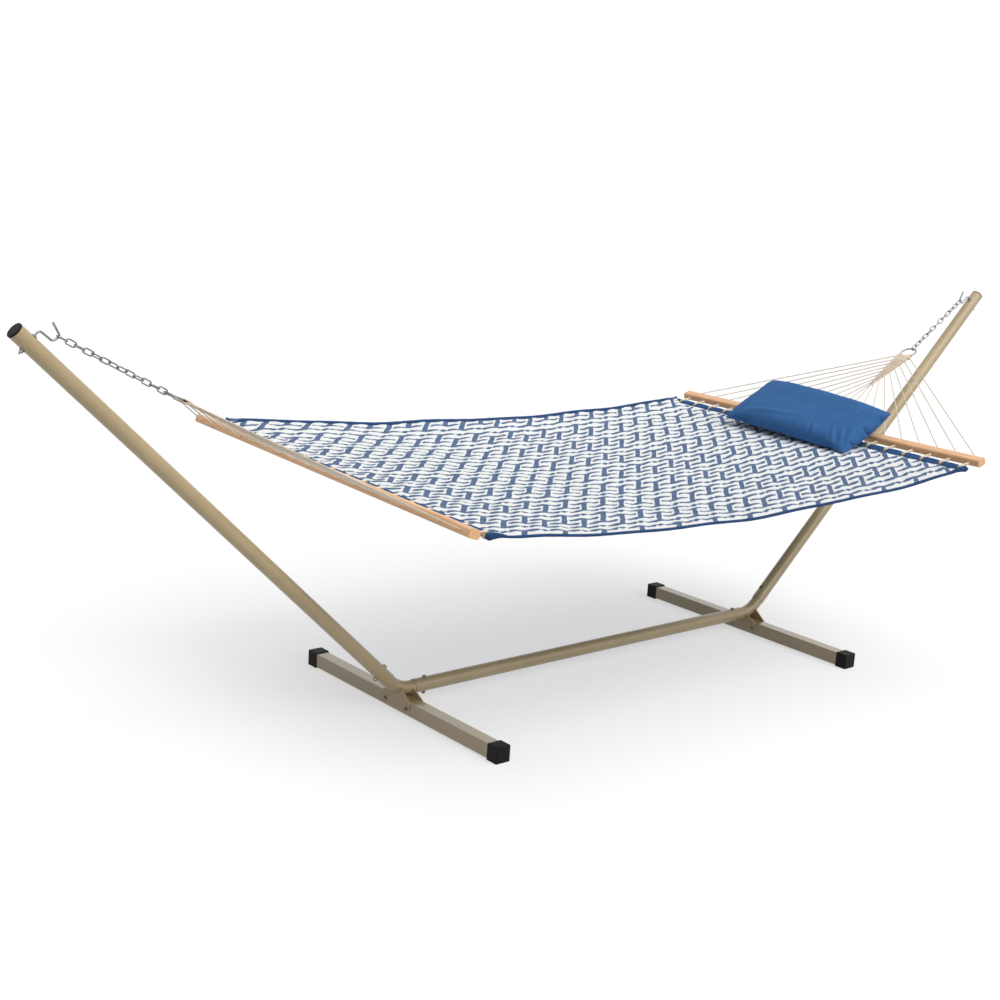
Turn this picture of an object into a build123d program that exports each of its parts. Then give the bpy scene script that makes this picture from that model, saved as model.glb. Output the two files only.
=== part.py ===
from build123d import *
import os
from math import asin, cos, radians, sin, sqrt, tan

# Hammock with two spreader bars, hung by chains between the arms of a tubular steel stand.
# Millimetres, X along the stand with the pillow at +X, Y across, Z up, floor at z = 0.

# Driving dimensions of the stand
tube_diameter = 50.0
tube_wall = 1.5
slip_clearance = 0.5
elbow_wall = 2.0
bend_radius = 130.0
arm_angle = 43.5
arm_reach = 1860.0
corner_x = 903.0
tube_setback = 62.0
elbow_grip = 120.0
foot_x = 883.0
foot_size = 50.0
foot_wall = 1.5
foot_corner = 3.0
foot_length = 1080.0
cap_wall = 3.5
cap_end = 4.0
cap_grip = 44.0
cap_clearance = 0.2
cap_edge = 2.5
weld_gap = 0.5
plate_thickness = 4.0
plate_half_base = 78.0
plate_half_top = 31.0
plate_lap = 27.0
plate_corner = 5.0
plug_rim = 6.0
plug_spigot = 25.0
plug_edge = 2.5

# Driving dimensions of the bolts and hooks
bolt_diameter = 8.0
bolt_hole_clearance = 0.4
bolt_flats = 13.0
bolt_head = 5.5
bolt_inset = 48.0
bolt_tail = 3.0
nut_height = 6.5
nut_bore_clearance = 0.15
seat_gap = 0.2
saddle_bolt_y = 60.0
hook_wire = 6.4
hook_inset = 50.0
hook_hole_clearance = 0.4
hook_bend = 10.0
hook_rise = 22.0
hook_valley_in = 52.0
hook_valley_up = -15.0
hook_bulge_in = 76.0
hook_bulge_up = -4.0
hook_tip_in = 54.0
hook_tip_up = 36.0
hook_tail = 14.0
hook_nut_flats = 11.0
hook_nut_height = 6.0
washer_diameter = 18.0
washer_thickness = 1.6

# Driving dimensions of the chains, rings and clews
link_count = 13
chain_pitch = 29.0
link_wire = 4.5
link_width = 20.0
link_gap = 0.4
foot_chain_angle = 28.0
head_chain_angle = 33.0
ring_radius = 32.0
ring_wire = 6.4
clew_length = 290.0
clew_thickness = 11.0
clew_wrap = 4.0
clew_spread = 62.0
clew_tip_half = 3.0
clew_clearance = 0.4
clew_first_leave = 0.06
clew_last_leave = 0.98

# Driving dimensions of the spreader bars, cords and lacing
bar_length = 1545.0
bar_width = 42.0
bar_height = 30.0
bar_edge = 9.0
bar_x = 1246.0
foot_bar_z = 880.0
head_bar_z = 836.0
foot_bar_roll = 1.8
head_bar_roll = 0.0
bar_tilt = 18.0
cord_count = 18
cord_pitch = 86.0
cord_diameter = 4.5
cord_hole_clearance = 0.6
cord_bend = 12.0
cord_mouth = 9.0
cord_clearance = 0.4
knot_diameter = 14.0
dowel_diameter = 16.0
hem_gap = 74.0
hem_drop = 22.0

# Driving dimensions of the bed and the pillow
bed_thickness = 12.0
bed_half_hem = 755.0
bed_waist = 60.0
near_sag = 105.0
middle_sag = 85.0
far_sag = 35.0
bed_stations = 9
hem_cloth = 2.5
hem_clearance = 0.6
notch_width = 26.0
notch_depth = 24.0
binding_width = 6.0
binding_height = 15.0
binding_gap = 0.4
binding_end = 30.0
pillow_length = 630.0
pillow_width = 315.0
pillow_crown = 66.0
pillow_belly = 50.0
pillow_lean = 80.0
pillow_draw = 16.0
pillow_seam = 2.0
pillow_corner = 0.06
pillow_rounding = 0.75
pillow_fullness = 2.6
pillow_x = 1136.0
pillow_y = -3.0
pillow_z = 881.8
pillow_pitch = 24.5
pillow_roll = 3.0

# Sizes that follow from the driving dimensions
tube_radius = tube_diameter / 2
elbow_radius = tube_radius - tube_wall - slip_clearance
foot_z = cap_wall + cap_clearance + foot_size / 2
axis_z = foot_z + foot_size / 2 + weld_gap + elbow_radius
bend_start = bend_radius * tan(radians(arm_angle / 2))
bolt_hole_radius = bolt_diameter / 2 + bolt_hole_clearance
link_inner = chain_pitch + link_gap
link_half = link_inner / 2 + link_wire / 2
link_bow = (link_width - link_wire) / 2
cord_radius = cord_diameter / 2
hem_x = bar_x - hem_gap
hem_bore = dowel_diameter / 2 + hem_clearance
hem_radius = hem_bore + hem_cloth


def save(piece, name):
    """Label a finished piece and write it to its own file."""
    piece.part.label = name
    export_step(piece.part, f"parts/{name}.step")


def arm_point(side, along, lift=0.0):
    """Point on an arm: along its axis from the corner, lifted off it towards the hammock."""
    angle = radians(arm_angle)
    out = corner_x + along * cos(angle) - lift * sin(angle)
    return Vector(side * out, 0, axis_z + along * sin(angle) + lift * cos(angle))


def arm_plane(side, along, lift=0.0):
    """Plane across an arm, facing up along it."""
    angle = radians(arm_angle)
    return Plane(arm_point(side, along, lift), x_dir=(0, 1, 0), z_dir=(side * cos(angle), 0, sin(angle)))


def arm_top_plane(side, along, lift=0.0):
    """Plane on the upper side of an arm, facing off it towards the hammock."""
    angle = radians(arm_angle)
    return Plane(arm_point(side, along, lift), x_dir=(0, 1, 0), z_dir=(-side * sin(angle), 0, cos(angle)))


def elbow_corners(side):
    """The three points that an elbow's axis runs through before its corner is rounded."""
    inner = Vector(side * (corner_x - tube_setback - elbow_grip), 0, axis_z)
    return inner, arm_point(side, 0), arm_point(side, tube_setback + elbow_grip)


def elbow_height(x):
    """Height of the elbow's axis at a distance from the middle of the stand."""
    past = x - (corner_x - bend_start)
    if past <= 0:
        return axis_z
    if past >= bend_radius * sin(radians(arm_angle)):
        return axis_z + (x - corner_x) * tan(radians(arm_angle))
    return axis_z + bend_radius - sqrt(bend_radius**2 - past**2)


def frame_bolt_planes(side):
    """Seats of the four bolts at one corner: plane under the head, and the thickness clamped."""
    tube_grip = tube_diameter + 2 * seat_gap
    plate_grip = foot_size + 2 * plate_thickness + 2 * seat_gap
    arm_seat = arm_top_plane(side, tube_setback + bolt_inset, tube_radius + seat_gap)
    middle_x = side * (corner_x - tube_setback - bolt_inset)
    middle_seat = Plane((middle_x, 0, axis_z + tube_radius + seat_gap), z_dir=(0, 0, 1))
    face_x = foot_x - plate_grip / 2 if side > 0 else -foot_x - plate_grip / 2
    near_seat = Plane((face_x, -saddle_bolt_y, foot_z), z_dir=(-1, 0, 0))
    far_seat = Plane((face_x, saddle_bolt_y, foot_z), z_dir=(-1, 0, 0))
    return (arm_seat, tube_grip), (middle_seat, tube_grip), (near_seat, plate_grip), (far_seat, plate_grip)


def hook_points(side):
    """Corners of the hook's rod, from its threaded end to its tip."""
    along = arm_reach - hook_inset
    start = arm_point(side, along, -tube_radius - hook_tail)
    base = arm_point(side, along, tube_radius)
    arch = arm_point(side, along, tube_radius + hook_rise)
    valley = base + Vector(-side * hook_valley_in, 0, hook_valley_up)
    bulge = base + Vector(-side * hook_bulge_in, 0, hook_bulge_up)
    tip = base + Vector(-side * hook_tip_in, 0, hook_tip_up)
    return start, arch, valley, bulge, tip


def chain_direction(side):
    """Unit vector from a hook down along its chain."""
    angle = radians(head_chain_angle if side > 0 else foot_chain_angle)
    return Vector(-side * cos(angle), 0, -sin(angle))


def hook_seat(side):
    """Middle of the hook's rod where the first link pulls on it."""
    valley, bulge, tip = hook_points(side)[2:]
    to_valley = (valley - bulge).normalized()
    to_tip = (tip - bulge).normalized()
    inward = (to_valley + to_tip).normalized()
    half_corner = radians(to_valley.get_angle(inward))
    return bulge + inward * (hook_bend / sin(half_corner)) + chain_direction(side) * hook_bend


def link_centre(side, number):
    """Middle of one chain link, counted from the hook."""
    first_end = -(hook_wire / 2 + link_gap)
    return hook_seat(side) + chain_direction(side) * (first_end + link_inner / 2 + number * chain_pitch)


def bar_axes(side):
    """Unit vectors of a spreader bar: along it, out towards its ring, and up."""
    roll = radians(head_bar_roll if side > 0 else foot_bar_roll)
    along = Vector(0, cos(roll), sin(roll))
    out = Vector(side * cos(radians(bar_tilt)), 0, sin(radians(bar_tilt)))
    out = (out - along * out.dot(along)).normalized()
    up = along.cross(out) * -side
    return along, out, up


def bar_point(side, along=0.0, out=0.0, up=0.0):
    """Point given in a spreader bar's own axes."""
    axes = bar_axes(side)
    centre = Vector(side * bar_x, 0, head_bar_z if side > 0 else foot_bar_z)
    return centre + axes[0] * along + axes[1] * out + axes[2] * up


def ring_frame(side):
    """Middle of a ring, and the direction from it to the middle of the spreader bar."""
    held = link_inner / 2 - link_gap - ring_wire / 2
    top = link_centre(side, link_count - 1) + chain_direction(side) * held
    down = (bar_point(side) - top).normalized()
    return top + down * ring_radius, down


def fan_plane(side):
    """Plane of a ring and its clew: local x runs to the spreader bar and local y across."""
    centre, down = ring_frame(side)
    return Plane(centre, x_dir=down, z_dir=down.cross(Vector(0, 1, 0)))


def hem_point(side, along=0.0):
    """Point on the axis of the dowel in the bed's end pocket."""
    height = (head_bar_z if side > 0 else foot_bar_z) - hem_drop
    return Vector(side * hem_x, 0, height) + bar_axes(side)[0] * along


def cord_places():
    """Distances of the cords from the middle of the bar."""
    return [(number - (cord_count - 1) / 2) * cord_pitch for number in range(cord_count)]


def bed_edge(x):
    """Half width of the bed, which is drawn in towards its middle."""
    return bed_half_hem - bed_waist * (1 - (x / hem_x) ** 2)


def bed_height(x, across):
    """Height of the bed's middle layer: across is -1 at the near edge and 1 at the far edge."""
    share = (x / hem_x + 1) / 2
    foot_end = hem_point(-1, across * bed_half_hem).Z
    head_end = hem_point(1, across * bed_half_hem).Z
    edge_mean = (near_sag + far_sag) / 2
    sag = middle_sag + (far_sag - near_sag) / 2 * across + (edge_mean - middle_sag) * across**2
    return foot_end + (head_end - foot_end) * share - sag * (1 - (x / hem_x) ** 2)


os.makedirs("parts", exist_ok=True)

# Foot tubes: square tube across each end of the stand, drilled for the two saddle bolts
for side, name in ((-1, "left"), (1, "right")):
    with BuildPart() as foot_tube:
        with BuildSketch(Plane.XZ.offset(-foot_length / 2)):
            with Locations((side * foot_x, foot_z)):
                RectangleRounded(foot_size, foot_size, foot_corner)
                inner = foot_size - 2 * foot_wall
                RectangleRounded(inner, inner, foot_corner - foot_wall, mode=Mode.SUBTRACT)
        extrude(amount=foot_length)
        for seat, grip in frame_bolt_planes(side)[2:]:
            with BuildSketch(seat):
                Circle(bolt_hole_radius)
            extrude(amount=-grip, mode=Mode.SUBTRACT)
    save(foot_tube, f"{name}_foot_tube")

# Foot caps: moulded sleeves over the tube ends, a little larger than the tube, that stand on the floor
cap_size = foot_size + 2 * (cap_wall + cap_clearance)
cap_pocket = foot_size + 2 * cap_clearance
for side, name in ((-1, "left"), (1, "right")):
    for way, place in ((-1, "near"), (1, "far")):
        with BuildPart() as foot_cap:
            with BuildSketch(Plane.XZ.offset(-way * (foot_length / 2 - cap_grip))):
                with Locations((side * foot_x, foot_z)):
                    RectangleRounded(cap_size, cap_size, foot_corner)
            extrude(amount=-way * (cap_grip + cap_end))
            end_face = foot_cap.faces().sort_by(Axis.Y)[0 if way < 0 else -1]
            fillet(end_face.edges(), radius=cap_edge)
            with BuildSketch(Plane.XZ.offset(-way * (foot_length / 2 - cap_grip))):
                with Locations((side * foot_x, foot_z)):
                    RectangleRounded(cap_pocket, cap_pocket, foot_corner)
            extrude(amount=-way * cap_grip, mode=Mode.SUBTRACT)
        save(foot_cap, f"{name}_{place}_foot_cap")

# Elbows: bent tube over each foot, whose two ends slip into the centre tube and the arm
for side, name in ((-1, "left"), (1, "right")):
    corners = elbow_corners(side)
    with BuildPart() as elbow:
        with BuildLine() as elbow_axis:
            FilletPolyline(*corners, radius=bend_radius)
        with BuildSketch(Plane(corners[0], z_dir=(side, 0, 0))):
            Circle(elbow_radius)
            Circle(elbow_radius - elbow_wall, mode=Mode.SUBTRACT)
        sweep(path=elbow_axis.line)
        for seat, grip in frame_bolt_planes(side)[:2]:
            with BuildSketch(seat):
                Circle(bolt_hole_radius)
            extrude(amount=-grip, mode=Mode.SUBTRACT)
    save(elbow, f"{name}_elbow")

# Saddle plates: two plates on the sides of each foot, notched to carry the elbow
for side, name in ((-1, "left"), (1, "right")):
    corners = elbow_corners(side)
    with BuildPart() as saddle_plates:
        for face in (-1, 1):
            inner_x = side * foot_x + face * foot_size / 2
            top = elbow_height(abs(inner_x + face * plate_thickness / 2))
            with BuildSketch(Plane.YZ.offset(inner_x)):
                with BuildLine():
                    Polyline(
                        (-plate_half_base, foot_z + foot_size / 2 - plate_lap),
                        (plate_half_base, foot_z + foot_size / 2 - plate_lap),
                        (plate_half_base, foot_z + foot_size / 2),
                        (plate_half_top, top),
                        (-plate_half_top, top),
                        (-plate_half_base, foot_z + foot_size / 2),
                        close=True,
                    )
                make_face()
                with Locations((-saddle_bolt_y, foot_z), (saddle_bolt_y, foot_z)):
                    Circle(bolt_hole_radius, mode=Mode.SUBTRACT)
            extrude(amount=face * plate_thickness)
        fillet(saddle_plates.edges().filter_by(Axis.X).group_by(Axis.Z)[0], radius=plate_corner)
        with BuildLine() as notch_axis:
            FilletPolyline(*corners, radius=bend_radius)
        with BuildSketch(Plane(corners[0], z_dir=(side, 0, 0))):
            Circle(elbow_radius + weld_gap)
        sweep(path=notch_axis.line, mode=Mode.SUBTRACT)
    save(saddle_plates, f"{name}_saddle_plates")

# Centre tube: one long tube that slips over both elbows
with BuildPart() as centre_tube:
    half_length = corner_x - tube_setback
    with BuildSketch(Plane.YZ.offset(-half_length)):
        with Locations((0, axis_z)):
            Circle(tube_radius)
            Circle(tube_radius - tube_wall, mode=Mode.SUBTRACT)
    extrude(amount=2 * half_length)
    for side in (-1, 1):
        seat, grip = frame_bolt_planes(side)[1]
        with BuildSketch(seat):
            Circle(bolt_hole_radius)
        extrude(amount=-grip, mode=Mode.SUBTRACT)
save(centre_tube, "centre_tube")

# Arm tubes: sloping tubes from the elbows to the hooks
for side, name in ((-1, "left"), (1, "right")):
    with BuildPart() as arm_tube:
        with BuildSketch(arm_plane(side, tube_setback)):
            Circle(tube_radius)
            Circle(tube_radius - tube_wall, mode=Mode.SUBTRACT)
        extrude(amount=arm_reach - tube_setback)
        seat, grip = frame_bolt_planes(side)[0]
        with BuildSketch(seat):
            Circle(bolt_hole_radius)
        extrude(amount=-grip, mode=Mode.SUBTRACT)
        with BuildSketch(arm_top_plane(side, arm_reach - hook_inset)):
            Circle(hook_wire / 2 + hook_hole_clearance)
        extrude(amount=tube_diameter, both=True, mode=Mode.SUBTRACT)
    save(arm_tube, f"{name}_arm_tube")

# Arm plugs: round moulded plugs in the upper ends of the arms
for side, name in ((-1, "left"), (1, "right")):
    with BuildPart() as arm_plug:
        with BuildSketch(arm_plane(side, arm_reach)):
            Circle(tube_radius)
        extrude(amount=plug_rim)
        fillet(arm_plug.edges().filter_by(GeomType.CIRCLE).sort_by(Axis.Z)[-1], radius=plug_edge)
        with BuildSketch(arm_plane(side, arm_reach)):
            Circle(tube_radius - tube_wall - cap_clearance)
        extrude(amount=-plug_spigot)
    save(arm_plug, f"{name}_arm_plug")

# Frame bolts and nuts: one bolt through each tube joint and two through each saddle
for side, name in ((-1, "left"), (1, "right")):
    with BuildPart() as frame_bolts:
        for seat, grip in frame_bolt_planes(side):
            with BuildSketch(seat):
                RegularPolygon(bolt_flats / 2, 6, major_radius=False)
            extrude(amount=bolt_head)
            with BuildSketch(seat):
                Circle(bolt_diameter / 2)
            extrude(amount=-(grip + nut_height + bolt_tail))
    save(frame_bolts, f"{name}_frame_bolts")
    with BuildPart() as frame_nuts:
        for seat, grip in frame_bolt_planes(side):
            with BuildSketch(seat.offset(-grip)):
                RegularPolygon(bolt_flats / 2, 6, major_radius=False)
                Circle(bolt_diameter / 2 + nut_bore_clearance, mode=Mode.SUBTRACT)
            extrude(amount=-nut_height)
    save(frame_nuts, f"{name}_frame_nuts")

# Hooks: bent rod through each arm, over into a valley and up to a tip that keeps the chain on
for side, name in ((-1, "left"), (1, "right")):
    points = hook_points(side)
    with BuildPart() as hook:
        with BuildLine() as hook_axis:
            FilletPolyline(*points, radius=hook_bend)
        with BuildSketch(Plane(points[0], z_dir=points[1] - points[0])):
            Circle(hook_wire / 2)
        sweep(path=hook_axis.line)
    save(hook, f"{name}_hook")

# Hook washers and nuts: a washer on each side of the arm and a nut under it
for side, name in ((-1, "left"), (1, "right")):
    along = arm_reach - hook_inset
    upper = arm_top_plane(side, along, tube_radius + seat_gap)
    lower = arm_top_plane(side, along, -tube_radius - seat_gap)
    with BuildPart() as hook_washers:
        for seat, way in ((upper, 1), (lower, -1)):
            with BuildSketch(seat):
                Circle(washer_diameter / 2)
                Circle(hook_wire / 2 + hook_hole_clearance, mode=Mode.SUBTRACT)
            extrude(amount=way * washer_thickness)
    save(hook_washers, f"{name}_hook_washers")
    with BuildPart() as hook_nut:
        with BuildSketch(lower.offset(-washer_thickness)):
            RegularPolygon(hook_nut_flats / 2, 6, major_radius=False)
            Circle(hook_wire / 2 + nut_bore_clearance, mode=Mode.SUBTRACT)
        extrude(amount=-hook_nut_height)
    save(hook_nut, f"{name}_hook_nut")

# Chains: interlocked welded links, each turned a little more than a quarter from the one before
turn_step = 90 + 90 / (link_count - 1)
with BuildPart() as link:
    with BuildLine() as link_axis:
        straight = link_half - link_bow
        Line((-straight, link_bow), (straight, link_bow))
        ThreePointArc((straight, link_bow), (link_half, 0), (straight, -link_bow))
        Line((straight, -link_bow), (-straight, -link_bow))
        ThreePointArc((-straight, -link_bow), (-link_half, 0), (-straight, link_bow))
    with BuildSketch(Plane((0, link_bow, 0), x_dir=(0, 1, 0), z_dir=(1, 0, 0))):
        Circle(link_wire / 2)
    sweep(path=link_axis.wire())
for side, name in ((-1, "foot"), (1, "head")):
    pull = chain_direction(side)
    with BuildPart() as chain:
        for number in range(link_count):
            across = Vector(0, 1, 0).rotate(Axis((0, 0, 0), pull), number * turn_step)
            place = Plane(link_centre(side, number), x_dir=pull, z_dir=pull.cross(across))
            with Locations(place):
                add(link.part)
    save(chain, f"{name}_chain")

# Rings: round welded rings that lie in the plane of their clew
for side, name in ((-1, "foot"), (1, "head")):
    with BuildPart(fan_plane(side)) as ring:
        Torus(ring_radius, ring_wire / 2)
    save(ring, f"{name}_ring")

# Clews: flat woven rope that wraps the lower arc of its ring and tapers to a tip
clew_inner = ring_radius - ring_wire / 2 - clew_wrap
clew_outer = ring_radius + ring_wire / 2 + clew_wrap
clew_side_x = clew_outer * cos(radians(clew_spread))
clew_side_y = clew_outer * sin(radians(clew_spread))
for side, name in ((-1, "foot"), (1, "head")):
    with BuildPart() as clew:
        with BuildSketch(fan_plane(side)):
            with BuildLine():
                near_in = (clew_inner * cos(radians(clew_spread)), -clew_inner * sin(radians(clew_spread)))
                far_in = (near_in[0], -near_in[1])
                ThreePointArc(near_in, (clew_inner, 0), far_in)
                Polyline(
                    far_in,
                    (clew_side_x, clew_side_y),
                    (clew_length, clew_tip_half),
                    (clew_length, -clew_tip_half),
                    (clew_side_x, -clew_side_y),
                    near_in,
                )
            make_face()
        extrude(amount=clew_thickness / 2, both=True)
        with Locations(fan_plane(side)):
            Torus(ring_radius, ring_wire / 2 + clew_clearance, mode=Mode.SUBTRACT)
    save(clew, f"{name}_clew")

# Spreader bars: rounded wood bars with a row of rope holes
for side, name in ((-1, "foot"), (1, "head")):
    along, out, up = bar_axes(side)
    with BuildPart() as spreader_bar:
        with BuildSketch(Plane(bar_point(side, along=-bar_length / 2), x_dir=out, z_dir=along)):
            RectangleRounded(bar_width, bar_height, bar_edge)
        extrude(amount=bar_length)
        with BuildSketch(Plane(bar_point(side, out=bar_width / 2), x_dir=along, z_dir=out)):
            with GridLocations(cord_pitch, 1, cord_count, 1):
                Circle(cord_radius + cord_hole_clearance)
        extrude(amount=-bar_width, mode=Mode.SUBTRACT)
    save(spreader_bar, f"{name}_spreader_bar")

# Cords: taut ropes from the sides of the clew to the holes of the bar, the outer ones leaving first
per_side = cord_count // 2
edge_run = Vector(clew_length - clew_side_x, clew_tip_half - clew_side_y)
edge_normal = Vector(-edge_run.Y, edge_run.X).normalized()
for side, name in ((-1, "foot"), (1, "head")):
    fan = fan_plane(side)
    with BuildPart() as cords:
        for place in cord_places():
            way = 1 if place > 0 else -1
            order = (abs(place) / cord_pitch - 0.5) / (per_side - 1)
            share = clew_last_leave + (clew_first_leave - clew_last_leave) * order
            leave = Vector(clew_side_x, clew_side_y) + edge_run * share
            leave += edge_normal * (cord_radius + cord_clearance)
            start = fan.from_local_coords(Vector(leave.X, way * leave.Y))
            mouth = bar_point(side, along=place, out=bar_width / 2 + cord_mouth)
            end = bar_point(side, along=place, out=-bar_width / 2)
            with BuildLine() as cord_axis:
                FilletPolyline(start, mouth, end, radius=cord_bend)
            with BuildSketch(Plane(start, z_dir=mouth - start)):
                Circle(cord_radius)
            sweep(path=cord_axis.line)
    save(cords, f"{name}_cords")

# Lacing loops: a knot behind each hole of the bar and a loop of rope from it round the dowel
loop_radius = dowel_diameter / 2 + cord_radius + cord_clearance
loop_spread = cord_radius + cord_clearance
for side, name in ((-1, "foot"), (1, "head")):
    along = bar_axes(side)[0]
    knot = bar_point(side, out=-bar_width / 2 - knot_diameter / 2 - cord_clearance)
    to_dowel = hem_point(side) - knot
    to_dowel -= along * to_dowel.dot(along)
    reach = to_dowel.length
    lean = asin((loop_radius - loop_spread) / reach)
    leave_x = reach - loop_radius * sin(lean)
    leave_y = loop_radius * cos(lean)
    with BuildPart() as loop:
        with BuildLine() as loop_axis:
            Line((0, loop_spread), (leave_x, leave_y))
            ThreePointArc((leave_x, leave_y), (reach + loop_radius, 0), (leave_x, -leave_y))
            Line((leave_x, -leave_y), (0, -loop_spread))
        with BuildSketch(Plane((0, loop_spread, 0), z_dir=(leave_x, leave_y - loop_spread, 0))):
            Circle(cord_radius)
        sweep(path=loop_axis.wire())
        Sphere(knot_diameter / 2)
    with BuildPart() as lacing_loops:
        for place in cord_places():
            with Locations(Plane(knot + along * place, x_dir=to_dowel, z_dir=along)):
                add(loop.part)
    save(lacing_loops, f"{name}_lacing_loops")

# Dowels: wood rods in the end pockets of the bed
for side, name in ((-1, "foot"), (1, "head")):
    with BuildPart() as dowel_rod:
        with BuildSketch(Plane(hem_point(side, -bed_half_hem), z_dir=bar_axes(side)[0])):
            Circle(dowel_diameter / 2)
        extrude(amount=2 * bed_half_hem)
    save(dowel_rod, f"{name}_dowel")

# Bed: quilted cloth that sags between the hems, with a notched pocket round each dowel
with BuildPart() as bed:
    sheet_half = hem_x - hem_radius / 2
    for number in range(bed_stations):
        x = sheet_half * (2 * number / (bed_stations - 1) - 1)
        edge = bed_edge(x)
        heights = [bed_height(x, across) for across in (-1, 0, 1)]
        with BuildSketch(Plane.YZ.offset(x)):
            with BuildLine():
                upper = [z + bed_thickness / 2 for z in heights]
                lower = [z - bed_thickness / 2 for z in heights]
                ThreePointArc((-edge, upper[0]), (0, upper[1]), (edge, upper[2]))
                Line((edge, upper[2]), (edge, lower[2]))
                ThreePointArc((edge, lower[2]), (0, lower[1]), (-edge, lower[0]))
                Line((-edge, lower[0]), (-edge, upper[0]))
            make_face()
    loft()
    for side in (-1, 1):
        with BuildSketch(Plane(hem_point(side, -bed_half_hem), z_dir=bar_axes(side)[0])):
            Circle(hem_radius)
        extrude(amount=2 * bed_half_hem)
    for side in (-1, 1):
        with BuildSketch(Plane(hem_point(side, -bed_half_hem), z_dir=bar_axes(side)[0])):
            Circle(hem_bore)
        extrude(amount=2 * bed_half_hem, mode=Mode.SUBTRACT)
        along = bar_axes(side)[0]
        with BuildSketch(Plane(hem_point(side), x_dir=along, z_dir=Vector(1, 0, 0).cross(along))):
            with Locations((0, side * (notch_depth - hem_radius) / 2)):
                with GridLocations(cord_pitch, 1, cord_count, 1):
                    Rectangle(notch_width, notch_depth + hem_radius)
        extrude(amount=2 * hem_radius, both=True, mode=Mode.SUBTRACT)
save(bed, "bed")

# Edge bindings: plain tape along the long sides of the bed
for way, name in ((-1, "near"), (1, "far")):
    with BuildPart() as binding:
        for number in range(bed_stations):
            x = (hem_x - binding_end) * (2 * number / (bed_stations - 1) - 1)
            middle = bed_edge(x) + binding_gap + binding_width / 2
            with BuildSketch(Plane.YZ.offset(x)):
                with Locations((way * middle, bed_height(x, way))):
                    Rectangle(binding_width, binding_height)
        loft()
    save(binding, f"{name}_edge_binding")

# Pillow: plump cushion with drawn-in sides and a seam all round, leaning towards the head bar;
# its underside is flatter and fullest under the raised edge, because its lower edge lies on the bed
pillow_rest = Plane((pillow_x, pillow_y, pillow_z)).rotated((pillow_roll, -pillow_pitch, 0))


def pillow_outline(share):
    """Outline of the pillow at a share of its full size: sharp corners at the seam, round ones on the crown."""
    half_x = pillow_width / 2 * share
    half_y = pillow_length / 2 * share
    draw = pillow_draw * share**4
    round_share = pillow_corner + (1 - share) * pillow_rounding
    start_x = half_x * (1 - round_share)
    start_y = half_y * (1 - round_share)
    bevel = round_share * (1 - sqrt(0.5))
    mid_x = half_x * (1 - bevel)
    mid_y = half_y * (1 - bevel)
    with BuildLine() as outline:
        ThreePointArc((-start_x, -half_y), (0, -half_y + draw), (start_x, -half_y))
        ThreePointArc((start_x, -half_y), (mid_x, -mid_y), (half_x, -start_y))
        ThreePointArc((half_x, -start_y), (half_x - draw, 0), (half_x, start_y))
        ThreePointArc((half_x, start_y), (mid_x, mid_y), (start_x, half_y))
        ThreePointArc((start_x, half_y), (0, half_y - draw), (-start_x, half_y))
        ThreePointArc((-start_x, half_y), (-mid_x, mid_y), (-half_x, start_y))
        ThreePointArc((-half_x, start_y), (-half_x + draw, 0), (-half_x, -start_y))
        ThreePointArc((-half_x, -start_y), (-mid_x, -mid_y), (-start_x, -half_y))
    return outline.line


with BuildPart() as pillow:
    with BuildSketch(pillow_rest.offset(-pillow_seam / 2)):
        add(pillow_outline(1.0))
        make_face()
    extrude(amount=pillow_seam)
    for way, swell, lean in ((1, pillow_crown, 0.0), (-1, pillow_belly, pillow_lean)):
        for share in (1.0, 0.9, 0.74, 0.5, 0.25):
            rise = pillow_seam / 2 + swell * (1 - share**pillow_fullness)
            with BuildSketch(pillow_rest.offset(way * rise)):
                with Locations((lean * (1 - share), 0)):
                    add(pillow_outline(share))
                make_face()
        loft()
save(pillow, "pillow")
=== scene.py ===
import bpy
import numpy as np
from math import asin, cos, pi, radians, sin, sqrt
from mathutils import Matrix, Vector


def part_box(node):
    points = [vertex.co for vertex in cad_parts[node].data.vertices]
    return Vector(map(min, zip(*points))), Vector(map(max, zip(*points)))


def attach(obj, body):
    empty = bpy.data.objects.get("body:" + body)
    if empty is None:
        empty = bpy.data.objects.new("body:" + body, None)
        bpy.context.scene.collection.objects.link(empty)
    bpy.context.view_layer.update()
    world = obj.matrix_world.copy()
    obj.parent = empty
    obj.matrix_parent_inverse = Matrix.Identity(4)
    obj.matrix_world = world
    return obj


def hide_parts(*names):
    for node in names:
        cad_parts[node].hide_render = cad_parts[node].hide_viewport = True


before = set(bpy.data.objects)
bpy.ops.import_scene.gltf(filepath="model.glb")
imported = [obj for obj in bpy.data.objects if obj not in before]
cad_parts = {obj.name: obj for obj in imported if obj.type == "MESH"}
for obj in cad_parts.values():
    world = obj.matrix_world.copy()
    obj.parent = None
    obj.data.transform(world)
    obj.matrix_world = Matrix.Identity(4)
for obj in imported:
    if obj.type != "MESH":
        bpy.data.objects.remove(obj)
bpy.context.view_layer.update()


# Coated steel of the stand: round arms, elbows and centre tube, square feet and notched saddle plates.
# Mild steel, cut, bent and drilled, then powder coated in a satin tan that keeps a faint orange-peel skin.
# The tubes slip over the elbows and are bolted; the flat sides of the feet took a smoother, glossier coat,
# painted darker than the tubes' as shade.
coat_colour = (0.47, 0.365, 0.200, 1)
coat_shadow = (0.42, 0.320, 0.172, 1)
# The feet's copy of the coat: the same tan, painted darker as shade.
shaded_flat_colour = (0.375, 0.275, 0.132, 1)
shaded_flat_dark = (0.330, 0.238, 0.110, 1)
coat_peel = 700.0
coat_drift = 5.0


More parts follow.
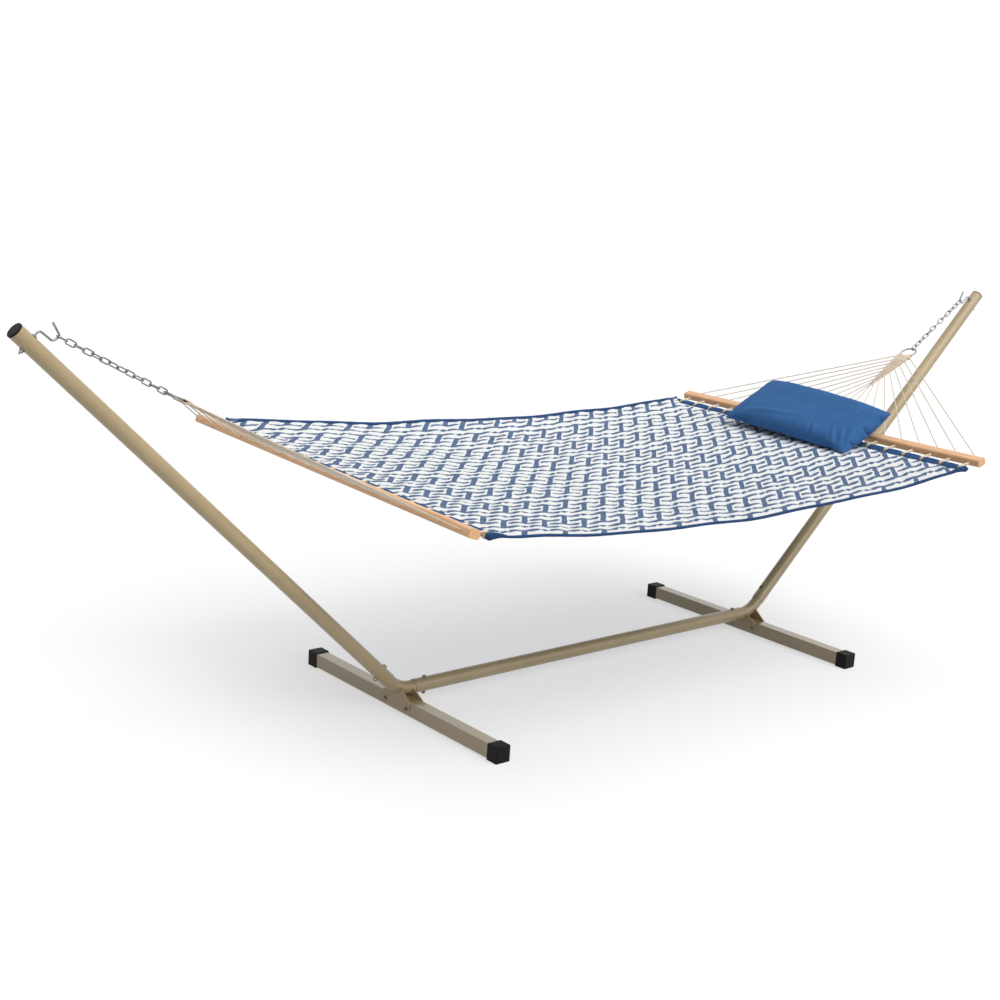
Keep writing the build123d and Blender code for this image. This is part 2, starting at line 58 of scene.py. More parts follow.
def add_node(tree, kind, inputs=None, **settings):
    """Add a node with its settings, and set or link its inputs by name or number."""
    made = tree.nodes.new(kind)
    for setting, value in settings.items():
        setattr(made, setting, value)
    for socket, value in (inputs or {}).items():
        if isinstance(value, bpy.types.NodeSocket):
            tree.links.new(value, made.inputs[socket])
        else:
            made.inputs[socket].default_value = value
    return made


def work_out(tree, operation, first, second=0.0):
    """One step of arithmetic in a node tree; gives back its result."""
    return add_node(tree, "ShaderNodeMath", {0: first, 1: second}, operation=operation).outputs[0]


def vector_step(tree, operation, first, second=(0, 0, 0), third=(0, 0, 0)):
    """One step of vector arithmetic in a node tree; gives back its vector."""
    inputs = {0: first, 1: second, 2: third}
    return add_node(tree, "ShaderNodeVectorMath", inputs, operation=operation).outputs[0]


def spread(tree, value, low, high, to_low=0.0, to_high=1.0):
    """Stretch a value from one range to another, without going past its ends."""
    inputs = {"Value": value, "From Min": low, "From Max": high, "To Min": to_low, "To Max": to_high}
    return add_node(tree, "ShaderNodeMapRange", inputs).outputs["Result"]


def mix_colours(tree, share, first, second):
    """Colour between two colours."""
    return add_node(tree, "ShaderNodeMix", {0: share, 6: first, 7: second}, data_type="RGBA").outputs[2]


def cloudy(tree, place, scale, detail=2.0):
    """Soft random values over the surface."""
    inputs = {"Vector": place, "Scale": scale, "Detail": detail}
    return add_node(tree, "ShaderNodeTexNoise", inputs).outputs["Fac"]


def new_group(name, inputs, outputs):
    """Empty shader group with named sockets; gives back its tree, its input node and its output node."""
    tree = bpy.data.node_groups.new(name, "ShaderNodeTree")
    for label, kind in inputs:
        tree.interface.new_socket(label, in_out="INPUT", socket_type=kind)
    for label, kind in outputs:
        tree.interface.new_socket(label, in_out="OUTPUT", socket_type=kind)
    return tree, tree.nodes.new("NodeGroupInput"), tree.nodes.new("NodeGroupOutput")


def new_material(name, **values):
    """Material with its shader's plain values set; gives back the material, its tree and the shader."""
    material = bpy.data.materials.new(name)
    material.use_nodes = True
    tree = material.node_tree
    shader = tree.nodes["Principled BSDF"]
    for socket, value in values.items():
        shader.inputs[socket.replace("_", " ")].default_value = value
    return material, tree, shader


def raise_surface(tree, shader, height, depth):
    """Let a height in the range 0 to 1 stand proud of the surface by a depth in metres."""
    bump = add_node(tree, "ShaderNodeBump", {"Height": height, "Distance": depth, "Strength": 1.0})
    tree.links.new(bump.outputs["Normal"], shader.inputs["Normal"])


def coat_nodes(material, *names):
    """Give pieces that were made in CAD their finish."""
    for name in names:
        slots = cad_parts[name].data.materials
        slots.clear()
        slots.append(material)


skin_tree, skin_in, skin_out = new_group(
    "moulded_skin",
    [("Fine Scale", "NodeSocketFloat"), ("Drift Scale", "NodeSocketFloat"),
     ("Light", "NodeSocketColor"), ("Dark", "NodeSocketColor"),
     ("Gloss", "NodeSocketFloat"), ("Dull", "NodeSocketFloat")],
    [("Colour", "NodeSocketColor"), ("Roughness", "NodeSocketFloat"), ("Height", "NodeSocketFloat")],
)
skin_place = add_node(skin_tree, "ShaderNodeTexCoord").outputs["Object"]
skin_fine = cloudy(skin_tree, skin_place, skin_in.outputs["Fine Scale"], 1.0)
skin_drift = cloudy(skin_tree, skin_place, skin_in.outputs["Drift Scale"], 4.0)
skin_share = spread(skin_tree, skin_drift, 0.35, 0.65)
skin_colour = mix_colours(skin_tree, skin_share, skin_in.outputs["Dark"], skin_in.outputs["Light"])
skin_rough = spread(skin_tree, skin_fine, 0.3, 0.7, skin_in.outputs["Gloss"], skin_in.outputs["Dull"])
skin_tree.links.new(skin_colour, skin_out.inputs["Colour"])
skin_tree.links.new(skin_rough, skin_out.inputs["Roughness"])
skin_tree.links.new(skin_fine, skin_out.inputs["Height"])


def grouped_finish(name, group, inputs, depth, **values):
    """Material that takes its colour, roughness and height from a shader group."""
    material, tree, shader = new_material(name, **values)
    effect = add_node(tree, "ShaderNodeGroup", inputs, node_tree=group)
    tree.links.new(effect.outputs["Colour"], shader.inputs["Base Color"])
    tree.links.new(effect.outputs["Roughness"], shader.inputs["Roughness"])
    raise_surface(tree, shader, effect.outputs["Height"], depth)
    return material


def skin_finish(name, light, dark, fine, drift, gloss, dull, depth, **values):
    """Material with a fine moulded or sprayed skin and a slow drift of colour."""
    inputs = {"Light": light, "Dark": dark, "Gloss": gloss, "Dull": dull}
    inputs.update({"Fine Scale": fine, "Drift Scale": drift})
    return grouped_finish(name, skin_tree, inputs, depth, **values)


coated_steel = skin_finish(
    "coated_steel", coat_colour, coat_shadow, coat_peel, coat_drift, gloss=0.34, dull=0.46, depth=0.00007,
    Coat_Weight=0.38, Coat_Roughness=0.2,
)
# The feet take the darker copy of the coat, which is painted shade, under a glossier clear coat.
shaded_flat_steel = skin_finish(
    "shaded_flat_coated_steel", shaded_flat_colour, shaded_flat_dark, coat_peel, coat_drift,
    gloss=0.34, dull=0.46, depth=0.00004, Coat_Weight=1.0, Coat_Roughness=0.12, Coat_IOR=1.6,
)
coat_nodes(shaded_flat_steel, "left_foot_tube", "right_foot_tube")
coat_nodes(coated_steel, "left_elbow", "right_elbow", "left_saddle_plates", "right_saddle_plates")
coat_nodes(coated_steel, "centre_tube", "left_arm_tube", "right_arm_tube")


# Weld beads: run round the notch of each saddle plate where the elbow sits in it, on both faces of the plate.
# Filler steel laid as a row of small overlapping puddles, under the same coat as the tubes.
elbow_radius = 0.0230
foot_x = 0.883
foot_half = 0.025
plate_thickness = 0.004
weld_pitch = 0.0024
weld_size = (0.0042, 0.0058, 0.0046)
weld_reach = 84
weld_step = 6
elbow_axis_z = 0.0772
elbow_corner_x = 0.903
elbow_half_bend = 0.3990
elbow_bend_radius = 0.130
elbow_bend_start = elbow_corner_x - elbow_bend_radius * elbow_half_bend


def new_tree(name, inputs):
    """Geometry tree with named inputs; gives back the tree and its input node."""
    tree = bpy.data.node_groups.new(name, "GeometryNodeTree")
    tree.interface.new_socket("Geometry", in_out="INPUT", socket_type="NodeSocketGeometry")
    for label, kind in inputs:
        tree.interface.new_socket(label, in_out="INPUT", socket_type=kind)
    tree.interface.new_socket("Geometry", in_out="OUTPUT", socket_type="NodeSocketGeometry")
    return tree, tree.nodes.new("NodeGroupInput")


def end_tree(tree, shape, material):
    """Close a geometry tree with smooth shading, real geometry and its finish."""
    smooth = add_node(tree, "GeometryNodeSetShadeSmooth", {"Geometry": shape})
    real = add_node(tree, "GeometryNodeRealizeInstances", {"Geometry": smooth.outputs[0]})
    coated = add_node(tree, "GeometryNodeSetMaterial", {"Geometry": real.outputs[0], "Material": material})
    add_node(tree, "NodeGroupOutput", {0: coated.outputs[0]})


def new_piece(name, points, edges=(), faces=()):
    """Mesh object at the origin, with its place in its mesh."""
    mesh = bpy.data.meshes.new(name)
    mesh.from_pydata([tuple(point) for point in points], edges, faces)
    mesh.update()
    piece = bpy.data.objects.new(name, mesh)
    bpy.context.scene.collection.objects.link(piece)
    return piece


def plain_mesh(piece):
    """Turn what a piece's modifiers make of it into its own mesh."""
    shaped = piece.evaluated_get(bpy.context.evaluated_depsgraph_get())
    mesh = bpy.data.meshes.new_from_object(shaped)
    piece.modifiers.clear()
    piece.data = mesh
    return piece


def grow_on_lines(name, lines, tree, values):
    """Run a geometry tree along lines of points and keep the result as a plain mesh."""
    points = []
    edges = []
    for line in lines:
        first = len(points)
        points.extend(line)
        edges.extend((number, number + 1) for number in range(first, len(points) - 1))
    piece = new_piece(name, points, edges)
    modifier = piece.modifiers.new("grow", "NODES")
    modifier.node_group = tree
    for item in tree.interface.items_tree:
        if item.in_out == "INPUT" and item.name in values:
            modifier[item.identifier] = values[item.name]
    return plain_mesh(piece)


marks_tree, marks_in = new_tree(
    "marks_along_a_line",
    [("Pitch", "NodeSocketFloat"), ("Size", "NodeSocketVector"), ("Finish", "NodeSocketMaterial")],
)
marks_line = add_node(marks_tree, "GeometryNodeMeshToCurve", {"Mesh": marks_in.outputs["Geometry"]})
marks_even = add_node(
    marks_tree, "GeometryNodeResampleCurve",
    {"Curve": marks_line.outputs[0], "Length": marks_in.outputs["Pitch"]}, mode="LENGTH",
)
marks_way = add_node(
    marks_tree, "FunctionNodeAlignRotationToVector",
    {"Vector": add_node(marks_tree, "GeometryNodeInputTangent").outputs[0]}, axis="X",
)
marks_grain = add_node(marks_tree, "GeometryNodeMeshUVSphere", {"Segments": 6, "Rings": 4, "Radius": 0.5})
marks_set = add_node(
    marks_tree, "GeometryNodeInstanceOnPoints",
    {"Points": marks_even.outputs[0], "Instance": marks_grain.outputs[0],
     "Rotation": marks_way.outputs[0], "Scale": marks_in.outputs["Size"]},
)
end_tree(marks_tree, marks_set.outputs[0], marks_in.outputs["Finish"])


def elbow_axis_height(x):
    """Height of an elbow's axis at a distance from the middle of the stand, over its saddle."""
    past = max(0.0, x - elbow_bend_start)
    return elbow_axis_z + elbow_bend_radius - sqrt(elbow_bend_radius**2 - past**2)


weld_lines = []
for side in (-1, 1):
    for face_x in (foot_half, foot_half + plate_thickness, -foot_half, -foot_half - plate_thickness):
        x = foot_x + face_x
        line = []
        for turn in range(-weld_reach, weld_reach + 1, weld_step):
            across = elbow_radius * sin(radians(turn))
            down = elbow_radius * cos(radians(turn))
            line.append((side * x, across, elbow_axis_height(x) - down))
        weld_lines.append(line)
saddle_welds = grow_on_lines(
    "saddle_welds", weld_lines, marks_tree, {"Pitch": weld_pitch, "Size": weld_size, "Finish": coated_steel}
)
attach(saddle_welds, "stand")


# Foot caps and arm plugs: sleeves pushed over the ends of the feet, and round plugs in the tops of the arms.
# Injection moulded black plastic with a fine matt grain.
moulded_black = skin_finish(
    "moulded_black", (0.010, 0.009, 0.0075, 1), (0.006, 0.0055, 0.005, 1),
    fine=1600.0, drift=30.0, gloss=0.45, dull=0.62, depth=0.0001, Specular_IOR_Level=0.12,
)
for end in ("left", "right"):
    coat_nodes(moulded_black, f"{end}_near_foot_cap", f"{end}_far_foot_cap", f"{end}_arm_plug")


# Bolts, nuts, washers, hooks, chains and rings: turned, bent or welded from steel wire and bar.
# Zinc plated, so bright grey with a fine crystalline mottle, and duller where parts rub;
# the frame's bolts and nuts have weathered to a dark brownish grey.
crystal_scale = 420.0
rub_scale = 90.0
plating_depth = 0.00006


def plated_finish(name, light, dark, gloss, dull):
    """Bright plated metal with small crystals of differing gloss."""
    material, tree, shader = new_material(name, Metallic=1.0)
    place = add_node(tree, "ShaderNodeTexCoord").outputs["Object"]
    crystals = add_node(tree, "ShaderNodeTexVoronoi", {"Vector": place, "Scale": crystal_scale})
    tone = add_node(tree, "ShaderNodeSeparateColor", {0: crystals.outputs["Color"]}).outputs[0]
    rubbed = cloudy(tree, place, rub_scale, 3.0)
    share = work_out(tree, "MULTIPLY", tone, spread(tree, rubbed, 0.3, 0.7))
    tree.links.new(mix_colours(tree, share, dark, light), shader.inputs["Base Color"])
    tree.links.new(spread(tree, rubbed, 0.3, 0.7, gloss, dull), shader.inputs["Roughness"])
    raise_surface(tree, shader, rubbed, plating_depth)
    return material


zinc_steel = plated_finish("zinc_steel", (0.38, 0.38, 0.39, 1), (0.18, 0.18, 0.19, 1), gloss=0.25, dull=0.42)
dull_steel = plated_finish("dull_steel", (0.32, 0.27, 0.19, 1), (0.19, 0.16, 0.11, 1), gloss=0.35, dull=0.5)
for end in ("left", "right"):
    coat_nodes(dull_steel, f"{end}_frame_bolts", f"{end}_frame_nuts")
    coat_nodes(zinc_steel, f"{end}_hook", f"{end}_hook_washers", f"{end}_hook_nut")
for end in ("foot", "head"):
    coat_nodes(zinc_steel, f"{end}_chain", f"{end}_ring")


# Spreader bars and dowels: planed hardwood bars with rounded edges, and plain turned rods in the bed's hems.
# Straight-grained oak, oiled to an orange tan on the bars and left paler on the rods.
ring_stretch = (46.0, 1.6, 46.0)
ring_count = 52.0
pore_stretch = (1400.0, 16.0, 1400.0)
pore_depth = 0.00012
grain_tree, grain_in, grain_out = new_group(
    "wood_grain",
    [("Light", "NodeSocketColor"), ("Dark", "NodeSocketColor"), ("Pore", "NodeSocketColor")],
    [("Colour", "NodeSocketColor"), ("Roughness", "NodeSocketFloat"), ("Height", "NodeSocketFloat")],
)
grain_place = add_node(grain_tree, "ShaderNodeTexCoord").outputs["Object"]
grain_slow = vector_step(grain_tree, "MULTIPLY", grain_place, ring_stretch)
grain_rings = cloudy(grain_tree, grain_slow, 1.0, 3.0)
grain_bands = work_out(grain_tree, "SINE", work_out(grain_tree, "MULTIPLY", grain_rings, ring_count))
grain_long = vector_step(grain_tree, "MULTIPLY", grain_place, pore_stretch)
grain_pores = spread(grain_tree, cloudy(grain_tree, grain_long, 1.0, 2.0), 0.58, 0.72)
grain_patch = spread(grain_tree, cloudy(grain_tree, grain_place, 5.0, 3.0), 0.3, 0.7, -0.25, 0.25)
grain_share = work_out(grain_tree, "ADD", spread(grain_tree, grain_bands, -1.0, 1.0, 0.1, 0.9), grain_patch)
grain_base = mix_colours(grain_tree, grain_share, grain_in.outputs["Dark"], grain_in.outputs["Light"])
grain_pore_share = work_out(grain_tree, "MULTIPLY", grain_pores, 0.6)
grain_colour = mix_colours(grain_tree, grain_pore_share, grain_base, grain_in.outputs["Pore"])
grain_rough = work_out(grain_tree, "ADD", 0.36, work_out(grain_tree, "MULTIPLY", grain_pores, 0.2))
grain_height = work_out(grain_tree, "SUBTRACT", 1.0, grain_pores)
grain_tree.links.new(grain_colour, grain_out.inputs["Colour"])
grain_tree.links.new(grain_rough, grain_out.inputs["Roughness"])
grain_tree.links.new(grain_height, grain_out.inputs["Height"])


def wood_finish(name, light, dark, pore, **values):
    """Wood with its grain along the bar."""
    inputs = {"Light": light, "Dark": dark, "Pore": pore}
    return grouped_finish(name, grain_tree, inputs, pore_depth, **values)


bar_wood = wood_finish(
    "bar_wood", (0.87, 0.505, 0.265, 1), (0.75, 0.40, 0.185, 1), (0.43, 0.195, 0.075, 1), Coat_Weight=0.2
)
dowel_wood = wood_finish("dowel_wood", (0.82, 0.62, 0.40, 1), (0.68, 0.47, 0.27, 1), (0.45, 0.28, 0.14, 1))
coat_nodes(bar_wood, "foot_spreader_bar", "head_spreader_bar")
coat_nodes(dowel_wood, "foot_dowel", "head_dowel")


# Clews: a flat woven taper of rope that hangs on each ring and lets the cords go, two by two, down its sides.
# Soft-laid cream polyester rope; each length is looped over the ring and crossed by rows woven in a chevron.
# Rope colours: the second of each pair is painted shade for the hollows between strands.
rope_cream = (0.88, 0.78, 0.65, 1)
rope_hollow_shade = (0.63, 0.52, 0.39, 1)
# The clew's copy of the same rope is paler: painted light against the shade among its rows.
lit_rope_cream = (0.95, 0.82, 0.69, 1)
lit_rope_hollow_shade = (0.74, 0.59, 0.45, 1)
rope_lay = 0.013
clew_rope = 0.0019
clew_lay = 0.012
clew_step = 0.0016
ring_radius = 0.032
ring_wire = 0.0032
clew_shoulder = (0.0184, 0.0346)
clew_tip = (0.290, 0.003)
clew_fullness = 1.5
clew_spread = radians(62)
clew_ropes = 9
clew_first_leave = 0.06
clew_last_leave = 0.98
row_first = 0.062
row_pitch = 0.0074
row_slope = 0.34
row_lift = 0.0018
row_past_edge = 0.0012
clew_tail = 0.066
wrap_back = 0.046
wrap_front = 0.047
wrap_lift = 0.0038
weave_start = 0.052
weave_stop = 0.004


def rope_finish(name, cream, hollow_shade):
    """Matt rope with painted shade that darkens the hollows between its strands."""
    material, tree, shader = new_material(name, Roughness=0.85, Specular_IOR_Level=0.2)
    # Painted shade: a mask of the hollows between the strands darkens the colour.
    in_hollow_shade = add_node(tree, "ShaderNodeAttribute", attribute_name="rope_hollow_shade").outputs["Fac"]
    place = add_node(tree, "ShaderNodeTexCoord").outputs["Object"]
    fuzz = cloudy(tree, place, 1500.0, 3.0)
    stain = cloudy(tree, place, 9.0, 2.0)
    shade = work_out(tree, "MULTIPLY", in_hollow_shade, spread(tree, fuzz, 0.2, 0.8, 1.15, 0.75))
    tone = work_out(tree, "ADD", shade, spread(tree, stain, 0.3, 0.7, -0.08, 0.08))
    tree.links.new(mix_colours(tree, tone, cream, hollow_shade), shader.inputs["Base Color"])
    raise_surface(tree, shader, fuzz, 0.0003)
    return material


rope_fibre = rope_finish("rope_fibre", rope_cream, rope_hollow_shade)
# Paler copy of the same rope, painted light, for the clew and the lacing loops.
lit_rope_fibre = rope_finish("lit_rope_fibre", lit_rope_cream, lit_rope_hollow_shade)

rope_tree, rope_in = new_tree(
    "laid_rope",
    [("Radius", "NodeSocketFloat"), ("Lay", "NodeSocketFloat"),
     ("Step", "NodeSocketFloat"), ("Finish", "NodeSocketMaterial")],
)
rope_line = add_node(rope_tree, "GeometryNodeMeshToCurve", {"Mesh": rope_in.outputs["Geometry"]})
rope_soft = add_node(
    rope_tree, "GeometryNodeCurveSplineType", {"Curve": rope_line.outputs[0]}, spline_type="CATMULL_ROM"
)
rope_even = add_node(
    rope_tree, "GeometryNodeResampleCurve",
    {"Curve": rope_soft.outputs[0], "Length": rope_in.outputs["Step"]}, mode="LENGTH",
)
rope_run = add_node(rope_tree, "GeometryNodeSplineParameter").outputs["Length"]
rope_angle = work_out(rope_tree, "MULTIPLY", rope_run, 2 * pi)
rope_turn = work_out(rope_tree, "DIVIDE", rope_angle, rope_in.outputs["Lay"])
rope_twist = add_node(
    rope_tree, "GeometryNodeSetCurveTilt", {"Curve": rope_even.outputs[0], "Tilt": rope_turn}
)
strand_count = 3
strand_sides = 12
strand_ring = add_node(
    rope_tree, "GeometryNodeCurvePrimitiveCircle",
    {"Resolution": strand_sides, "Radius": rope_in.outputs["Radius"]},
)
strand_index = add_node(rope_tree, "GeometryNodeInputIndex").outputs[0]
strand_angle = work_out(rope_tree, "MULTIPLY", strand_index, strand_count * 2 * pi / strand_sides)
strand_lobe = work_out(rope_tree, "COSINE", strand_angle)
strand_scale = work_out(rope_tree, "ADD", 0.9, work_out(rope_tree, "MULTIPLY", strand_lobe, 0.13))
strand_spot = add_node(rope_tree, "GeometryNodeInputPosition").outputs[0]
strand_place = add_node(
    rope_tree, "ShaderNodeVectorMath", {0: strand_spot, "Scale": strand_scale}, operation="SCALE"
)
# Marks the hollows between the strands, where the rope's finish paints shade.
strand_marked = add_node(
    rope_tree, "GeometryNodeStoreNamedAttribute",
    {"Geometry": strand_ring.outputs[0], "Name": "rope_hollow_shade",
     "Value": spread(rope_tree, strand_lobe, -1.0, 0.3, 1.0, 0.0)},
    data_type="FLOAT", domain="POINT",
)
strand_shape = add_node(
    rope_tree, "GeometryNodeSetPosition",
    {"Geometry": strand_marked.outputs[0], "Position": strand_place.outputs[0]},
)
rope_body = add_node(
    rope_tree, "GeometryNodeCurveToMesh",
    {"Curve": rope_twist.outputs[0], "Profile Curve": strand_shape.outputs[0], "Fill Caps": True},
)
end_tree(rope_tree, rope_body.outputs[0], rope_in.outputs["Finish"])


ring_middle = {}
bar_middle = {}
fan_down = {}
fan_lift = {}
for end in ("foot", "head"):
    low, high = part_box(f"{end}_ring")
    ring_middle[end] = (low + high) / 2
    low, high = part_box(f"{end}_spreader_bar")
    bar_middle[end] = (low + high) / 2
    fan_down[end] = (bar_middle[end] - ring_middle[end]).normalized()
    fan_lift[end] = fan_down[end].cross(Vector((0, 1, 0)))


def fan_point(end, down, across, lift=0.0):
    """Point in the flat of a clew: down from its ring to the bar, across it, and lifted off it."""
    return ring_middle[end] + fan_down[end] * down + Vector((0, across, 0)) + fan_lift[end] * lift


def clew_half(down):
    """Half width of the clew at a distance from the middle of its ring."""
    share = (down - clew_shoulder[0]) / (clew_tip[0] - clew_shoulder[0])
    return clew_shoulder[1] + (clew_tip[1] - clew_shoulder[1]) * share**clew_fullness


def leave_down(number):
    """Distance down the clew at which a rope leaves it: the outer ones go first."""
    share = clew_last_leave + (clew_first_leave - clew_last_leave) * number / (clew_ropes - 1)
    return clew_shoulder[0] + (clew_tip[0] - clew_shoulder[0]) * share


def rope_across(number):
    """Distance of a rope of the clew from its middle line."""
    return (number + 0.5) * clew_shoulder[1] / clew_ropes


row_count = int((clew_tip[0] - row_first) / row_pitch)
wrap_radius = ring_wire + clew_rope
for end in ("foot", "head"):
    lines = []
    for way in (-1, 1):
        for number in range(clew_ropes):
            across = way * rope_across(number)
            angle = clew_spread * (number + 0.5) / clew_ropes
            out_down = cos(angle)
            out_across = way * sin(angle)
            tail = min(clew_tail, leave_down(number))
            line = [fan_point(end, tail, across, -row_lift), fan_point(end, wrap_back, across, -wrap_lift)]
            for turn in (-100, -50, 0, 50, 100):
                from_middle = ring_radius - wrap_radius * cos(radians(turn))
                lift = wrap_radius * sin(radians(turn))
                line.append(fan_point(end, from_middle * out_down, from_middle * out_across, lift))
            line.append(fan_point(end, wrap_front, across, wrap_lift))
            for row in range(row_count):
                down = row_first + row * row_pitch - row_slope * abs(across)
                if weave_start < down < leave_down(number) - weave_stop:
                    line.append(fan_point(end, down, across, row_lift * (-1) ** (row + number)))
            line.append(fan_point(end, max(weave_start, leave_down(number)), across))
            lines.append(line)
    for row in range(row_count):
        row_down = row_first + row * row_pitch
        half = clew_half(row_down)
        inside = [number for number in range(clew_ropes) if rope_across(number) < half]
        places = [(-rope_across(number), number) for number in reversed(inside)]
        places += [(rope_across(number), number) for number in inside]
        turn_down = row_down - row_slope * half + row_pitch / 2
        line = [fan_point(end, turn_down, -half - row_past_edge)]
        for across, number in places:
            lift = -row_lift * (-1) ** (row + number)
            line.append(fan_point(end, row_down - row_slope * abs(across), across, lift))
        line.append(fan_point(end, turn_down, half + row_past_edge))
        lines.append(line)
    clew = grow_on_lines(
        f"{end}_clew_weave", lines, rope_tree,
        {"Radius": clew_rope, "Lay": clew_lay, "Step": clew_step, "Finish": lit_rope_fibre},
    )
    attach(clew, "hammock")
    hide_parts(f"{end}_clew")


# Cords: eighteen taut ropes at each end that fan out from the sides of the clew and pass through the bar.
# The same rope as the clew, drawn straight by the weight of the bed; the clew's copy is painted lighter, so
# these look a shade darker.
cord_radius = 0.00225
cord_count = 18
cord_pitch = 0.086
cord_step = 0.0026
cord_clear = 0.004
cord_aside = 0.002
cord_buried = 0.006
bar_tilt = radians(18)
bar_half = 0.021
bar_roll = {"foot": radians(1.8), "head": 0.0}
bar_side = {"foot": -1, "head": 1}


def bar_axes(end):
    """Unit vectors of a spreader bar: along it, and out towards its ring."""
    along = Vector((0, cos(bar_roll[end]), sin(bar_roll[end])))
    out = Vector((bar_side[end] * cos(bar_tilt), 0, sin(bar_tilt)))
    out = (out - along * out.dot(along)).normalized()
    return along, out


def bar_point(end, along, out):
    """Point given in a bar's own axes."""
    along_axis, out_axis = bar_axes(end)
    return bar_middle[end] + along_axis * along + out_axis * out


cord_places = [(number - (cord_count - 1) / 2) * cord_pitch for number in range(cord_count)]
for end in ("foot", "head"):
    lines = []
    for place in cord_places:
        way = 1 if place > 0 else -1
        number = round(abs(place) / cord_pitch - 0.5)
        across = way * rope_across(number)
        down = leave_down(number)
        start = fan_point(end, down + cord_clear, across + way * cord_aside)
        mouth = bar_point(end, place, bar_half + cord_clear)
        line = [fan_point(end, down - cord_buried, across), start]
        line += [start.lerp(mouth, share) for share in (0.06, 0.35, 0.65, 0.96)]
        line += [bar_point(end, place, out) for out in (bar_half, 0.0, -bar_half)]
        lines.append(line)
    cords = grow_on_lines(
        f"{end}_cord_fan", lines, rope_tree,
        {"Radius": cord_radius, "Lay": rope_lay, "Step": cord_step, "Finish": rope_fibre},
    )
    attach(cords, "hammock")
    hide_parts(f"{end}_cords")


# Lacing loops: behind each hole of the bar the rope is tied in a stopper knot and runs on, doubled,
# as a loop round the dowel in the bed's hem, through a notch in the cloth. It takes the clew's paler copy of
# the rope, painted light against the shade in the notches.
knot_radius = 0.0048
knot_place = 0.0074
dowel_radius = 0.008
loop_slack = 0.0004
loop_radius = dowel_radius + cord_radius + loop_slack
loop_spread = 0.0026
loop_apart = 0.0024
loop_waist = 0.4
loop_bow = 0.002
loop_step = 0.0024
knot_steps = 24
for end in ("foot", "head"):
    along = bar_axes(end)[0]
    knot = bar_point(end, 0.0, -bar_half - knot_place)
    low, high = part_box(f"{end}_dowel")
    to_dowel = (low + high) / 2 - knot
    to_dowel -= along * to_dowel.dot(along)
    reach = to_dowel.length
    to_dowel.normalize()
    up = along.cross(to_dowel)
    lean = asin((loop_radius - loop_spread) / reach)
    lines = []
    for place in cord_places:
        centre = knot + along * place
        for apart in (-loop_apart, loop_apart):
            beside = centre + along * apart
            waist = beside + to_dowel * reach * loop_waist
            line = [centre + up * loop_spread, waist + up * (loop_spread + loop_bow)]
            for turn in range(-90, 91, 30):
                share = radians(turn) * (1 + lean / pi)
                out = reach + loop_radius * cos(share)
                line.append(beside + to_dowel * out - up * loop_radius * sin(share))
            line += [waist - up * (loop_spread + loop_bow), centre - up * loop_spread]
            lines.append(line)
        tie = []
        for number in range(knot_steps + 1):
            turn = 2 * pi * number / knot_steps
            sideways = (sin(turn) + 2 * sin(2 * turn)) / 3
            upright = (cos(turn) - 2 * cos(2 * turn)) / 3
            deep = -sin(3 * turn) / 2
            tie.append(centre + (along * sideways + up * upright + to_dowel * deep) * knot_radius)
        lines.append(tie)
    loops = grow_on_lines(
        f"{end}_loop_lacing", lines, rope_tree,
        {"Radius": cord_radius, "Lay": rope_lay, "Step": loop_step, "Finish": lit_rope_fibre},
    )
    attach(loops, "hammock")
    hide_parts(f"{end}_lacing_loops")


# Bed: a double cloth quilted over a thin filling, which sags between its hems, more on its near side.
# Printed woven polyester above, plain blue below; at each end a plain facing turns round the dowel as tabs.
hem_x = 1.172
bed_half_hem = 0.755
bed_waist = 0.060
near_sag = 0.087
middle_sag = 0.085
far_sag = 0.041
far_curl = 0.013
rim_curl = 0.011
notch_width = 0.019
cloth_end = hem_x - 0.024
quilt_end = hem_x - 0.040
quilt_pitch = 0.066
quilt_rise = 0.0052
quilt_back = 0.0040
quilt_seam = 0.0014
bed_waves = ((0.0022, 9.1, 4.0, 0.6), (0.0016, 15.7, -11.0, 2.1), (0.0012, 6.0, 23.0, 4.0))
scallop_rise = 0.0055
scallop_reach = 0.06
bed_steps_along = 246
bed_steps_across = 158
hem_z = {"foot": 0.858, "head": 0.814}


def bed_edge(x):
    """Half width of the bed, which is drawn in towards its middle."""
    return bed_half_hem - bed_waist * (1 - (x / hem_x) ** 2)


def bed_height(x, across):
    """Height of the bed's middle layer: across is -1 at the near edge and 1 at the far edge."""
    share = (x / hem_x + 1) / 2
    foot_end = hem_z["foot"] + across * bed_half_hem * sin(bar_roll["foot"])
    edge_mean = (near_sag + far_sag) / 2
    sag = middle_sag + (far_sag - near_sag) / 2 * across + (edge_mean - middle_sag) * across**2
    return foot_end + (hem_z["head"] - foot_end) * share - sag * (1 - (x / hem_x) ** 2)


def fade(value, start, end):
    """Smooth step from 0 at start to 1 at end."""
    share = np.clip((value - start) / (end - start), 0, 1)
    return share * share * (3 - 2 * share)


def bed_drape(x, across):
    """Small folds of the cloth: slack waves over the bed, and scallops that the loops pull in the hems."""
    from_hem = hem_x - np.abs(x)
    flat_y = across * bed_half_hem
    waves = 0.0
    for height, along, sideways, start in bed_waves:
        waves = waves + height * np.sin(along * x + sideways * flat_y + start)
    scallop = scallop_rise * np.cos(2 * pi * flat_y / cord_pitch) * np.exp(-from_hem / scallop_reach)
    return waves * fade(from_hem, 0.02, 0.25) + scallop * fade(from_hem, 0.022, 0.05)


def edge_curl(x, across):
    """The taut far edge curls up along the bed, and in the hem only past the last loop."""
    curl_start = 0.72 + 0.235 * fade(np.abs(x), hem_x - 0.14, hem_x - 0.03)
    return far_curl * fade(across, curl_start, 1.0) + rim_curl * fade(across, 0.955, 1.02)


